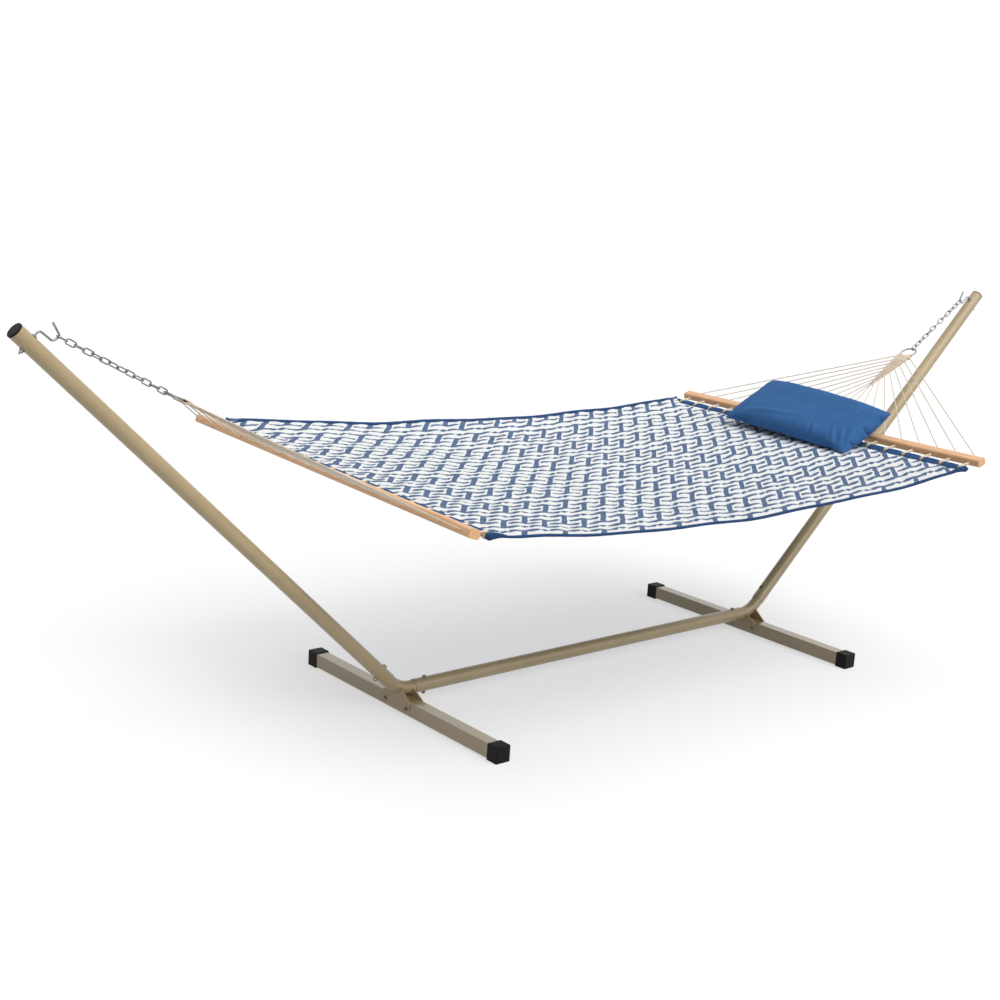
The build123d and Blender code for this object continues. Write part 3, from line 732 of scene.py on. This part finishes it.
def bed_puff(x, across):
    """Swell of the filling between the diagonal quilting lines, from 0 on a line to 1 between them."""
    flat_y = across * bed_half_hem
    one = np.abs(np.sin(pi * (x + flat_y) / sqrt(2) / quilt_pitch))
    two = np.abs(np.sin(pi * (x - flat_y) / sqrt(2) / quilt_pitch))
    edge = fade(1 - np.abs(across), 0.008, 0.035) * fade(quilt_end - np.abs(x), -0.004, 0.02)
    return (one * two) ** 0.62 * edge


def bed_layer(x, across, layer):
    """Height of the cloth: layer 1 is the printed top and layer -1 the plain back."""
    swell = quilt_seam + (quilt_rise if layer > 0 else quilt_back) * bed_puff(x, across)
    return bed_height(x, across) + bed_drape(x, across) + edge_curl(x, across) + layer * swell


grid_x = np.linspace(-cloth_end, cloth_end, bed_steps_along + 1)
grid_across = np.linspace(-1, 1, bed_steps_across + 1)
mesh_x, mesh_across = np.meshgrid(grid_x, grid_across, indexing="ij")
mesh_y = mesh_across * bed_edge(mesh_x)
bed_points = []
for layer in (1, -1):
    heights = bed_layer(mesh_x, mesh_across, layer)
    bed_points += np.stack([mesh_x, mesh_y, heights], axis=-1).reshape(-1, 3).tolist()
row_length = bed_steps_across + 1
layer_length = (bed_steps_along + 1) * row_length
bed_faces = []
bed_finish = []
bed_flat = [(x, across * bed_half_hem) for x in grid_x for across in grid_across] * 2
for column in range(bed_steps_along):
    for row in range(bed_steps_across):
        corner = column * row_length + row
        above = (corner, corner + row_length, corner + row_length + 1, corner + 1)
        bed_faces.append(above)
        bed_finish.append(0)
        bed_faces.append(tuple(number + layer_length for number in reversed(above)))
        bed_finish.append(1)
rim = [column * row_length for column in range(bed_steps_along + 1)]
rim += [bed_steps_along * row_length + row for row in range(1, bed_steps_across + 1)]
rim += [column * row_length + bed_steps_across for column in range(bed_steps_along - 1, -1, -1)]
rim += list(range(bed_steps_across - 1, 0, -1))
for first, second in zip(rim, rim[1:] + rim[:1]):
    bed_faces.append((second, first, first + layer_length, second + layer_length))
    bed_finish.append(1)

tab_cloth = 0.0022
tab_columns = 7
tab_short = 0.0255
tab_long = 0.0320
tab_bulge = 0.0014
tab_outer = dowel_radius + 0.0026
tab_lift = 0.0012
tab_arch = 0.0022
tab_bend = 0.72
tab_thin = 0.4


def tab_lap(side, start, across, y, bulge, inset, layer):
    """The two points of a tab's path that lie on the bed, from its end on: layer 1 is on top and -1 below."""
    points = []
    for share in (1.0, tab_bend):
        x = side * (hem_x - start * share)
        rise = tab_lift + (tab_arch + bulge) * (share < 1.0) - inset * tab_thin
        points.append(Vector((x, y, float(bed_layer(x, across, layer)) + layer * rise)))
    return points


tab_edges = [-bed_half_hem]
for place in cord_places:
    tab_edges += [place - notch_width / 2, place + notch_width / 2]
tab_edges.append(bed_half_hem)
for end in ("foot", "head"):
    side = bar_side[end]
    along = bar_axes(end)[0]
    for low, high in zip(tab_edges[::2], tab_edges[1::2]):
        skins = []
        for inset in (0.0, tab_cloth):
            radius = tab_outer - inset
            skin = []
            for column in range(tab_columns):
                place = low + (high - low) * column / (tab_columns - 1)
                across = place / bed_half_hem
                centre = Vector((side * hem_x, 0, hem_z[end])) + along * place
                belly = sin(pi * column / (tab_columns - 1))
                bulge = tab_bulge * belly
                start = tab_short + (tab_long - tab_short) * belly
                path = tab_lap(side, start, across, centre.y, bulge, inset, 1)
                for turn in range(120, -121, -24):
                    out = (radius + bulge) * cos(radians(turn))
                    rise = (radius + bulge) * sin(radians(turn))
                    path.append(centre + Vector((side * out, 0, rise)))
                path += reversed(tab_lap(side, start, across, centre.y, bulge, inset, -1))
                skin.append(path)
            skins.append(skin)
        steps = len(skins[0][0])
        first = len(bed_points)
        for skin in skins:
            for path in skin:
                bed_points += [tuple(point) for point in path]
                bed_flat += [(point.x, point.y) for point in path]
        inner = tab_columns * steps
        tab_faces = []
        for column in range(tab_columns - 1):
            for step in range(steps - 1):
                corner = first + column * steps + step
                outer_face = (corner, corner + 1, corner + steps + 1, corner + steps)
                tab_faces.append(outer_face)
                tab_faces.append(tuple(number + inner for number in reversed(outer_face)))
        loop = [first + step for step in range(steps)]
        loop += [first + column * steps + steps - 1 for column in range(1, tab_columns)]
        loop += [first + (tab_columns - 1) * steps + step for step in range(steps - 2, -1, -1)]
        loop += [first + column * steps for column in range(tab_columns - 2, 0, -1)]
        for one, two in zip(loop, loop[1:] + loop[:1]):
            tab_faces.append((two, one, one + inner, two + inner))
        if side < 0:
            tab_faces = [tuple(reversed(face)) for face in tab_faces]
        bed_faces += tab_faces
        bed_finish += [1] * len(tab_faces)


def lay_out(piece, map_name, flat):
    """Smooth a piece of cloth and map it by the flat place of each of its points."""
    mesh = piece.data
    mesh.polygons.foreach_set("use_smooth", [True] * len(mesh.polygons))
    corner_points = np.zeros(len(mesh.loops), dtype=np.int32)
    mesh.loops.foreach_get("vertex_index", corner_points)
    cloth_map = mesh.uv_layers.new(name=map_name)
    cloth_map.data.foreach_set("uv", np.array(flat, dtype=np.float32)[corner_points].ravel())


bed = new_piece("bed_quilt", bed_points, (), bed_faces)
bed.data.polygons.foreach_set("material_index", bed_finish)
lay_out(bed, "cloth", bed_flat)

cloth_threads = 700.0
weave_depth = 0.0003
slub_stretch = (400.0, 14.0, 1.0)
weave_tree, weave_in, weave_out = new_group(
    "cloth_weave",
    [("Place", "NodeSocketVector"), ("Threads", "NodeSocketFloat")],
    [("Height", "NodeSocketFloat"), ("Slub", "NodeSocketFloat")],
)
weave_spot = add_node(weave_tree, "ShaderNodeSeparateXYZ", {0: weave_in.outputs["Place"]})
weave_count = work_out(weave_tree, "MULTIPLY", weave_in.outputs["Threads"], pi)
weave_along = work_out(weave_tree, "MULTIPLY", weave_spot.outputs[0], weave_count)
weave_warp = work_out(weave_tree, "SINE", weave_along)
weave_across = work_out(weave_tree, "MULTIPLY", weave_spot.outputs[1], weave_count)
weave_weft = work_out(weave_tree, "SINE", weave_across)
weave_both = work_out(weave_tree, "MULTIPLY", weave_warp, weave_weft)
weave_over = work_out(weave_tree, "GREATER_THAN", weave_both, 0.0)
weave_top = work_out(weave_tree, "MULTIPLY", work_out(weave_tree, "ABSOLUTE", weave_warp), weave_over)
weave_under = work_out(
    weave_tree, "MULTIPLY", work_out(weave_tree, "ABSOLUTE", weave_weft),
    work_out(weave_tree, "SUBTRACT", 1.0, weave_over),
)
weave_long = vector_step(weave_tree, "MULTIPLY", weave_in.outputs["Place"], slub_stretch)
weave_slub = cloudy(weave_tree, weave_long, 1.0, 2.0)
weave_tree.links.new(work_out(weave_tree, "ADD", weave_top, weave_under), weave_out.inputs["Height"])
weave_tree.links.new(weave_slub, weave_out.inputs["Slub"])


def woven(tree, threads, map_name):
    """Weave of a cloth on its own map; gives back the map's vector, the weave's height and its slubs."""
    place = add_node(tree, "ShaderNodeUVMap", uv_map=map_name).outputs[0]
    inputs = {"Place": place, "Threads": threads}
    weave = add_node(tree, "ShaderNodeGroup", inputs, node_tree=weave_tree)
    return place, weave.outputs["Height"], weave.outputs["Slub"]


def plain_cloth(name, light, dark, threads, map_name, **values):
    """Plain woven cloth in one colour with slubs and a fine weave."""
    material, tree, shader = new_material(name, **values)
    place, height, slub = woven(tree, threads, map_name)
    worn = cloudy(tree, place, 11.0, 4.0)
    slub_part = work_out(tree, "MULTIPLY", slub, 0.55)
    worn_part = work_out(tree, "MULTIPLY", worn, 0.45)
    share = work_out(tree, "ADD", slub_part, worn_part)
    colour = mix_colours(tree, spread(tree, share, 0.32, 0.68), dark, light)
    tree.links.new(colour, shader.inputs["Base Color"])
    tree.links.new(spread(tree, slub, 0.3, 0.7, 0.78, 0.92), shader.inputs["Roughness"])
    raise_surface(tree, shader, height, weave_depth)
    return material


print_white = (0.88, 0.89, 0.885, 1)
print_blue = (0.033, 0.100, 0.235, 1)
fret_lean = 0.9
repeat_half_x = 0.088
fret_row = 0.047
repeat_half_y = 2 * fret_row
fret_reach = 0.070
fret_line = 0.0086
fret_point = 0.7
fret_stem = 0.0125
diamond_slope = 0.62
diamond_size = 0.0140
print_wander = 0.003
ink_edge = 0.0008

printed, print_tree, print_shader = new_material("printed_cloth", Specular_IOR_Level=0.12)
print_place, print_height, print_slub = woven(print_tree, cloth_threads, "cloth")


def fret_depth(tree, place, shift):
    """How far inside the ink of one set of frets a place lies: two pointed bars, their stem and a diamond."""
    moved = vector_step(tree, "ADD", place, shift)
    high = (repeat_half_x, repeat_half_y, 1.0)
    low = (-repeat_half_x, -repeat_half_y, -1.0)
    wrapped = vector_step(tree, "WRAP", moved, high, low)
    spot = add_node(tree, "ShaderNodeSeparateXYZ", {0: vector_step(tree, "ABSOLUTE", wrapped)})
    along, across = spot.outputs[0], spot.outputs[1]
    from_row = work_out(tree, "ABSOLUTE", work_out(tree, "SUBTRACT", across, fret_row))
    from_tip = work_out(tree, "SUBTRACT", work_out(tree, "SUBTRACT", fret_reach, along), from_row)
    from_side = work_out(tree, "SUBTRACT", fret_line, from_row)
    bar = work_out(tree, "MINIMUM", from_side, work_out(tree, "MULTIPLY", from_tip, fret_point))
    in_stem = work_out(tree, "SUBTRACT", fret_stem, along)
    stem = work_out(tree, "MINIMUM", in_stem, work_out(tree, "SUBTRACT", fret_row, across))
    from_end = work_out(tree, "SUBTRACT", repeat_half_y, across)
    from_diamond = work_out(tree, "ADD", from_end, work_out(tree, "MULTIPLY", along, diamond_slope))
    diamond = work_out(tree, "SUBTRACT", diamond_size, from_diamond)
    return work_out(tree, "MAXIMUM", work_out(tree, "MAXIMUM", bar, stem), diamond)


wobble = cloudy(print_tree, print_place, 22.0, 2.0)
print_spot = add_node(print_tree, "ShaderNodeSeparateXYZ", {0: print_place})
print_shift = spread(print_tree, wobble, 0.3, 0.7, -print_wander, print_wander)
print_across = work_out(print_tree, "ADD", print_spot.outputs[1], print_shift)
print_lean = work_out(print_tree, "MULTIPLY", print_across, fret_lean)
print_along = work_out(print_tree, "SUBTRACT", print_spot.outputs[0], print_lean)
print_bent = add_node(print_tree, "ShaderNodeCombineXYZ", {0: print_along, 1: print_across}).outputs[0]
one_depth = fret_depth(print_tree, print_bent, (0, 0, 0))
two_depth = fret_depth(print_tree, print_bent, (repeat_half_x, fret_row, 0))
whole_depth = work_out(print_tree, "MAXIMUM", one_depth, two_depth)
ink = spread(print_tree, whole_depth, -ink_edge, ink_edge)
ink_faded = work_out(print_tree, "MULTIPLY", ink, spread(print_tree, print_slub, 0.3, 0.7, 0.82, 1.0))
print_colour = mix_colours(print_tree, ink_faded, print_white, print_blue)
print_tree.links.new(print_colour, print_shader.inputs["Base Color"])
print_tree.links.new(spread(print_tree, print_slub, 0.3, 0.7, 0.78, 0.92), print_shader.inputs["Roughness"])
raise_surface(print_tree, print_shader, print_height, weave_depth)
blue_cloth = plain_cloth(
    "blue_cloth", (0.040, 0.110, 0.260, 1), (0.026, 0.078, 0.195, 1), cloth_threads, "cloth",
    Specular_IOR_Level=0.12,
)
bed.data.materials.append(printed)
bed.data.materials.append(blue_cloth)
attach(bed, "hammock")
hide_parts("bed")


# Edge bindings: a plain blue tape folded over each long side of the bed and sewn through.
# Woven polyester tape, a shade darker than the back of the bed.
tape_steps = 200
tape_profile = [
    (-0.0130, 0.0031), (-0.006, 0.0034), (0.001, 0.0031), (0.0040, 0.0020), (0.0048, 0.0),
    (0.0040, -0.0020), (0.001, -0.0031), (-0.006, -0.0034), (-0.0130, -0.0031),
    (-0.0125, -0.0019), (0.0, -0.0020), (0.0026, 0.0), (0.0, 0.0020), (-0.0125, 0.0019),
]
tape_flare = 1.8
tape_flap = {-1: 0.9, 1: 1.35}
tape_round = 0.011
tape_opens = 0.085
tape_open = 0.012
tape_strip = 0.004
tape_puckers = ((0.05, 95, 0.0), (0.04, 41, 1.0))
tape_places = [hem_x * (2 * step / tape_steps - 1) for step in range(tape_steps + 1)]
for share in (0.4, 0.7, 0.9, 1.0):
    tape_places = [-hem_x - tape_round * share] + tape_places + [hem_x + tape_round * share]


def tape_height(x, way, inside=0.0):
    """Height of an edge tape's middle, some way inside its edge, and how far it opens to close a hem."""
    at_hem = float(fade(abs(x), hem_x - tape_opens, hem_x - tape_open))
    past = min(1.0, max(0.0, abs(x) - hem_x) / tape_round)
    end = "foot" if x < 0 else "head"
    at_dowel = hem_z[end] + way * bed_half_hem * sin(bar_roll[end])
    across = way * (1 - inside / bed_half_hem)
    at_cloth = float(bed_height(x, across) + bed_drape(x, across) + edge_curl(x, across))
    opened = (1 + tape_flare * at_hem) * (0.25 + 0.75 * sqrt(1 - past**2))
    return at_cloth + (at_dowel - at_cloth) * at_hem, opened


tape_cloth = plain_cloth(
    "tape_cloth", (0.028, 0.080, 0.200, 1), (0.018, 0.054, 0.145, 1), 900.0, "tape", Specular_IOR_Level=0.12
)
for way, name in ((-1, "near"), (1, "far")):
    points = []
    flat = []
    for x in tape_places:
        edge = min(bed_edge(x), bed_half_hem)
        for number, (out, rise) in enumerate(tape_profile):
            if out < 0:
                out *= tape_flap[way]
            middle, opened = tape_height(x, way, max(0.0, -out))
            pucker = 1.0
            for height, rate, start in tape_puckers:
                pucker += height * sin(rate * x + start)
            points.append((x, way * (edge + out), middle + rise * (opened * pucker)))
            flat.append((x, number * tape_strip))
    sides = len(tape_profile)
    faces = []
    for step in range(len(tape_places) - 1):
        for number in range(sides):
            one = step * sides + number
            two = step * sides + (number + 1) % sides
            face = (one, two, two + sides, one + sides)
            faces.append(face if way < 0 else tuple(reversed(face)))
    first_end = tuple(range(sides))
    last_end = tuple(len(points) - sides + number for number in range(sides))
    faces.append(tuple(reversed(first_end)) if way < 0 else first_end)
    faces.append(last_end if way < 0 else tuple(reversed(last_end)))
    tape = new_piece(f"{name}_edge_tape", points, (), faces)
    lay_out(tape, "tape", flat)
    tape.data.materials.append(tape_cloth)
    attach(tape, "hammock")
    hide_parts(f"{name}_edge_binding")


# Stitches: one row along each edge tape and two across each hem, sewn through the whole bed.
# Bonded polyester thread in a lighter blue, about five stitches to the inch.
stitch_pitch = 0.0052
stitch_size = (0.0040, 0.0009, 0.0008)
stitch_inset = 0.0055
stitch_rise = 0.0034
thread, thread_tree, thread_shader = new_material("sewing_thread", Roughness=0.6)
thread_place = add_node(thread_tree, "ShaderNodeTexCoord").outputs["Object"]
thread_wave = add_node(thread_tree, "ShaderNodeTexWave", {"Vector": thread_place, "Scale": 900.0})
thread_ply = thread_wave.outputs["Fac"]
thread_colour = mix_colours(thread_tree, thread_ply, (0.06, 0.13, 0.27, 1), (0.11, 0.21, 0.38, 1))
thread_tree.links.new(thread_colour, thread_shader.inputs["Base Color"])
stitch_lines = []
for way in (-1, 1):
    line = []
    for step in range(tape_steps + 1):
        x = cloth_end * (2 * step / tape_steps - 1)
        middle, opened = tape_height(x, way, stitch_inset)
        line.append((x, way * (bed_edge(x) - stitch_inset), middle + stitch_rise * opened))
    stitch_lines.append(line)
for side in (-1, 1):
    for back in (0.030, 0.034):
        x = side * (hem_x - back)
        line = []
        for step in range(161):
            across = 0.98 * (2 * step / 160 - 1)
            line.append((x, across * float(bed_edge(x)), float(bed_layer(x, across, 1)) + 0.0003))
        stitch_lines.append(line)
stitches = grow_on_lines(
    "bed_stitches", stitch_lines, marks_tree, {"Pitch": stitch_pitch, "Size": stitch_size, "Finish": thread}
)
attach(stitches, "hammock")


# Pillow: a plain blue slip over a loose fibre filling, closed by a knife-edge seam all round.
# Two flat panels sewn face to face and turned, so the filling draws the sides in and puckers the seams.
# Each fold of the top is given by where it starts and stops, its height and its width.
pillow_width = 0.315
pillow_length = 0.630
pillow_crown = 0.058
pillow_belly = 0.050
pillow_lean = 0.080
pillow_fullness = 2.6
pillow_raise = 0.014
pillow_centre = Vector((1.136, -0.003, 0.8818))
pillow_turn = Matrix.Rotation(radians(3), 4, "X") @ Matrix.Rotation(radians(-24.5), 4, "Y")
pillow_folds = (
    ((-0.146, -0.287), (-0.050, -0.238), 0.0088, 0.010),
    ((-0.150, -0.254), (-0.062, -0.200), 0.0080, 0.009),
    ((-0.122, -0.303), (-0.030, -0.276), 0.0058, 0.010),
    ((-0.152, -0.150), (-0.078, -0.120), 0.0062, 0.009),
    ((-0.152, -0.112), (-0.088, -0.098), 0.0050, 0.008),
    ((-0.118, 0.275), (-0.066, -0.070), 0.0062, 0.014),
    ((-0.152, 0.060), (-0.104, 0.048), 0.0042, 0.008),
    ((-0.138, 0.288), (-0.062, 0.240), 0.0050, 0.010),
    ((0.142, -0.272), (0.060, -0.222), 0.0032, 0.011),
    ((0.146, 0.205), (0.082, 0.182), 0.0026, 0.010),
)
panel_half_x = 0.185
panel_half_y = 0.338
panel_round = 0.10
panel_columns = 52
panel_rows = 96
panel_points = []
panel_flat = []
panel_index = {}
for layer in (1, -1):
    for column in range(panel_columns + 1):
        for row in range(panel_rows + 1):
            u = 2 * column / panel_columns - 1
            v = 2 * row / panel_rows - 1
            on_seam = abs(u) == 1 or abs(v) == 1
            if on_seam and layer < 0:
                panel_index[layer, column, row] = panel_index[1, column, row]
                continue
            swell = (1 - u**4) * (1 - v**4)
            panel_index[layer, column, row] = len(panel_points)
            x = panel_half_x * u * (1 + panel_round * (1 - v**2))
            y = panel_half_y * v * (1 + panel_round / 2 * (1 - u**2))
            panel_points.append((x, y, layer * 0.030 * swell))
            panel_flat.append((x, y))
panel_faces = []
for layer in (1, -1):
    for column in range(panel_columns):
        for row in range(panel_rows):
            corners = ((column, row), (column + 1, row), (column + 1, row + 1), (column, row + 1))
            face = tuple(panel_index[layer, *corner] for corner in corners)
            panel_faces.append(face if layer > 0 else tuple(reversed(face)))
pillow = new_piece("pillow_cushion", panel_points, (), panel_faces)
pillow.data.polygons.foreach_set("use_smooth", [True] * len(panel_faces))
pillow_map = pillow.data.uv_layers.new(name="slip")
pillow_places = [part for loop in pillow.data.loops for part in panel_flat[loop.vertex_index]]
pillow_map.data.foreach_set("uv", pillow_places)
cloth = pillow.modifiers.new("filling", "CLOTH")
cloth.settings.quality = 8
cloth.settings.mass = 0.25
cloth.settings.tension_stiffness = 40
cloth.settings.compression_stiffness = 4
cloth.settings.shear_stiffness = 20
cloth.settings.bending_stiffness = 0.02
cloth.settings.use_pressure = True
cloth.settings.uniform_pressure_force = 2.0
cloth.settings.effector_weights.gravity = 0.0
cloth.point_cache.frame_start = 1
cloth.point_cache.frame_end = 18
for number in range(1, 19):
    bpy.context.scene.frame_set(number)
plain_mesh(pillow)
bpy.context.scene.frame_set(1)
corners = np.zeros(len(pillow.data.vertices) * 3)
pillow.data.vertices.foreach_get("co", corners)
corners = corners.reshape(-1, 3)
reach_x, reach_y, reach_z = np.abs(corners).max(axis=0)
corners[:, 0] *= pillow_width / 2 / reach_x
corners[:, 1] *= pillow_length / 2 / reach_y
corners[:, 2] /= reach_z
below = np.clip(-corners[:, 2], 0.0, 0.97)
corners[:, 0] += pillow_lean * (1 - (1 - below) ** (1 / pillow_fullness))
corners[:, 2] *= np.where(corners[:, 2] > 0, pillow_crown, pillow_belly)
corners[:, 2] += pillow_raise * fade(corners[:, 0], 0.0, pillow_width / 2)
on_top = fade(corners[:, 2], 0.004, 0.020)
for start, stop, height, width in pillow_folds:
    reach = np.subtract(stop, start)
    span = np.hypot(*reach)
    from_start = corners[:, :2] - start
    along_fold = np.clip(from_start @ reach / span**2, 0, 1)
    beside_fold = (from_start[:, 0] * reach[1] - from_start[:, 1] * reach[0]) / span / width
    ridge = (1 - beside_fold**2) * np.exp(-(beside_fold**2))
    corners[:, 2] += height * ridge * np.sin(pi * along_fold) * on_top
pillow.data.vertices.foreach_set("co", corners.ravel())
pillow.data.transform(Matrix.Translation(pillow_centre) @ pillow_turn)
softer = pillow.modifiers.new("softer", "SUBSURF")
softer.levels = 1
softer.render_levels = 1
plain_mesh(pillow)
slip_cloth = plain_cloth(
    "slip_cloth", (0.043, 0.157, 0.395, 1), (0.030, 0.116, 0.305, 1), 800.0, "slip",
    Sheen_Weight=0.04, Specular_IOR_Level=0.2,
)
pillow.data.materials.clear()
pillow.data.materials.append(slip_cloth)
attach(pillow, "pillow")
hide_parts("pillow")


# Studio: a plain white floor, even light from all round, and two broad soft lamps, one overhead and one near.
# The camera stands off the foot end at a standing person's eye height and is tipped a little.
floor_half = 400.0
floor_corners = [(-floor_half, -floor_half, 0), (floor_half, -floor_half, 0)]
floor_corners += [(floor_half, floor_half, 0), (-floor_half, floor_half, 0)]
floor = new_piece("floor", floor_corners, (), [(0, 1, 2, 3)])
floor_paint, floor_tree, floor_shader = new_material(
    "floor_paint", Base_Color=(0.50, 0.50, 0.50, 1), Roughness=0.95, Specular_IOR_Level=0.0,
    Emission_Color=(1, 1, 1, 1),
)
floor_rays = add_node(floor_tree, "ShaderNodeLightPath")
floor_seen = work_out(
    floor_tree, "MAXIMUM", floor_rays.outputs["Is Camera Ray"], floor_rays.outputs["Is Glossy Ray"]
)
floor_seen = work_out(floor_tree, "MAXIMUM", floor_seen, floor_rays.outputs["Is Transmission Ray"])
floor_glow = work_out(floor_tree, "MULTIPLY", floor_seen, 0.53)
floor_tree.links.new(floor_glow, floor_shader.inputs["Emission Strength"])
floor.data.materials.append(floor_paint)

world = bpy.data.worlds.new("studio")
world.use_nodes = True
bpy.context.scene.world = world
world_tree = world.node_tree
world_rays = add_node(world_tree, "ShaderNodeLightPath")
seen = work_out(
    world_tree, "MAXIMUM", world_rays.outputs["Is Camera Ray"], world_rays.outputs["Is Glossy Ray"]
)
seen = work_out(world_tree, "MAXIMUM", seen, world_rays.outputs["Is Transmission Ray"])
world_light = spread(world_tree, seen, 0.0, 1.0, 0.35, 1.0)
world_tree.nodes["Background"].inputs["Color"].default_value = (1, 1, 1, 1)
world_tree.links.new(world_light, world_tree.nodes["Background"].inputs["Strength"])

for name, energy, way in (("high_lamp", 0.9, (-0.05, 0.05, -1.0)), ("near_lamp", 1.9, (-0.12, 0.72, -0.70))):
    lamp_data = bpy.data.lights.new(name, "SUN")
    lamp_data.angle = radians(55)
    lamp_data.energy = energy
    lamp = bpy.data.objects.new(name, lamp_data)
    lamp.rotation_euler = Vector(way).to_track_quat("-Z", "Y").to_euler()
    bpy.context.scene.collection.objects.link(lamp)

camera_turn = radians(40.67)
camera_dip = radians(-13.474)
camera_tip = radians(3.633)
ahead = Vector((cos(camera_dip) * sin(camera_turn), cos(camera_dip) * cos(camera_turn), sin(camera_dip)))
level = Vector((cos(camera_turn), -sin(camera_turn), 0))
upright = level.cross(ahead)
right = level * cos(camera_tip) + upright * sin(camera_tip)
up = upright * cos(camera_tip) - level * sin(camera_tip)
camera_data = bpy.data.cameras.new("camera")
camera_data.sensor_width = 36.0
camera_data.lens = 56.5
camera_data.clip_end = 1000.0
camera = bpy.data.objects.new("camera", camera_data)
camera.location = (-3.9748, -4.0466, 1.9804)
camera.rotation_euler = Matrix((right, up, -ahead)).transposed().to_euler()
bpy.context.scene.collection.objects.link(camera)
bpy.context.scene.camera = camera
bpy.context.scene.view_settings.view_transform = "Standard"
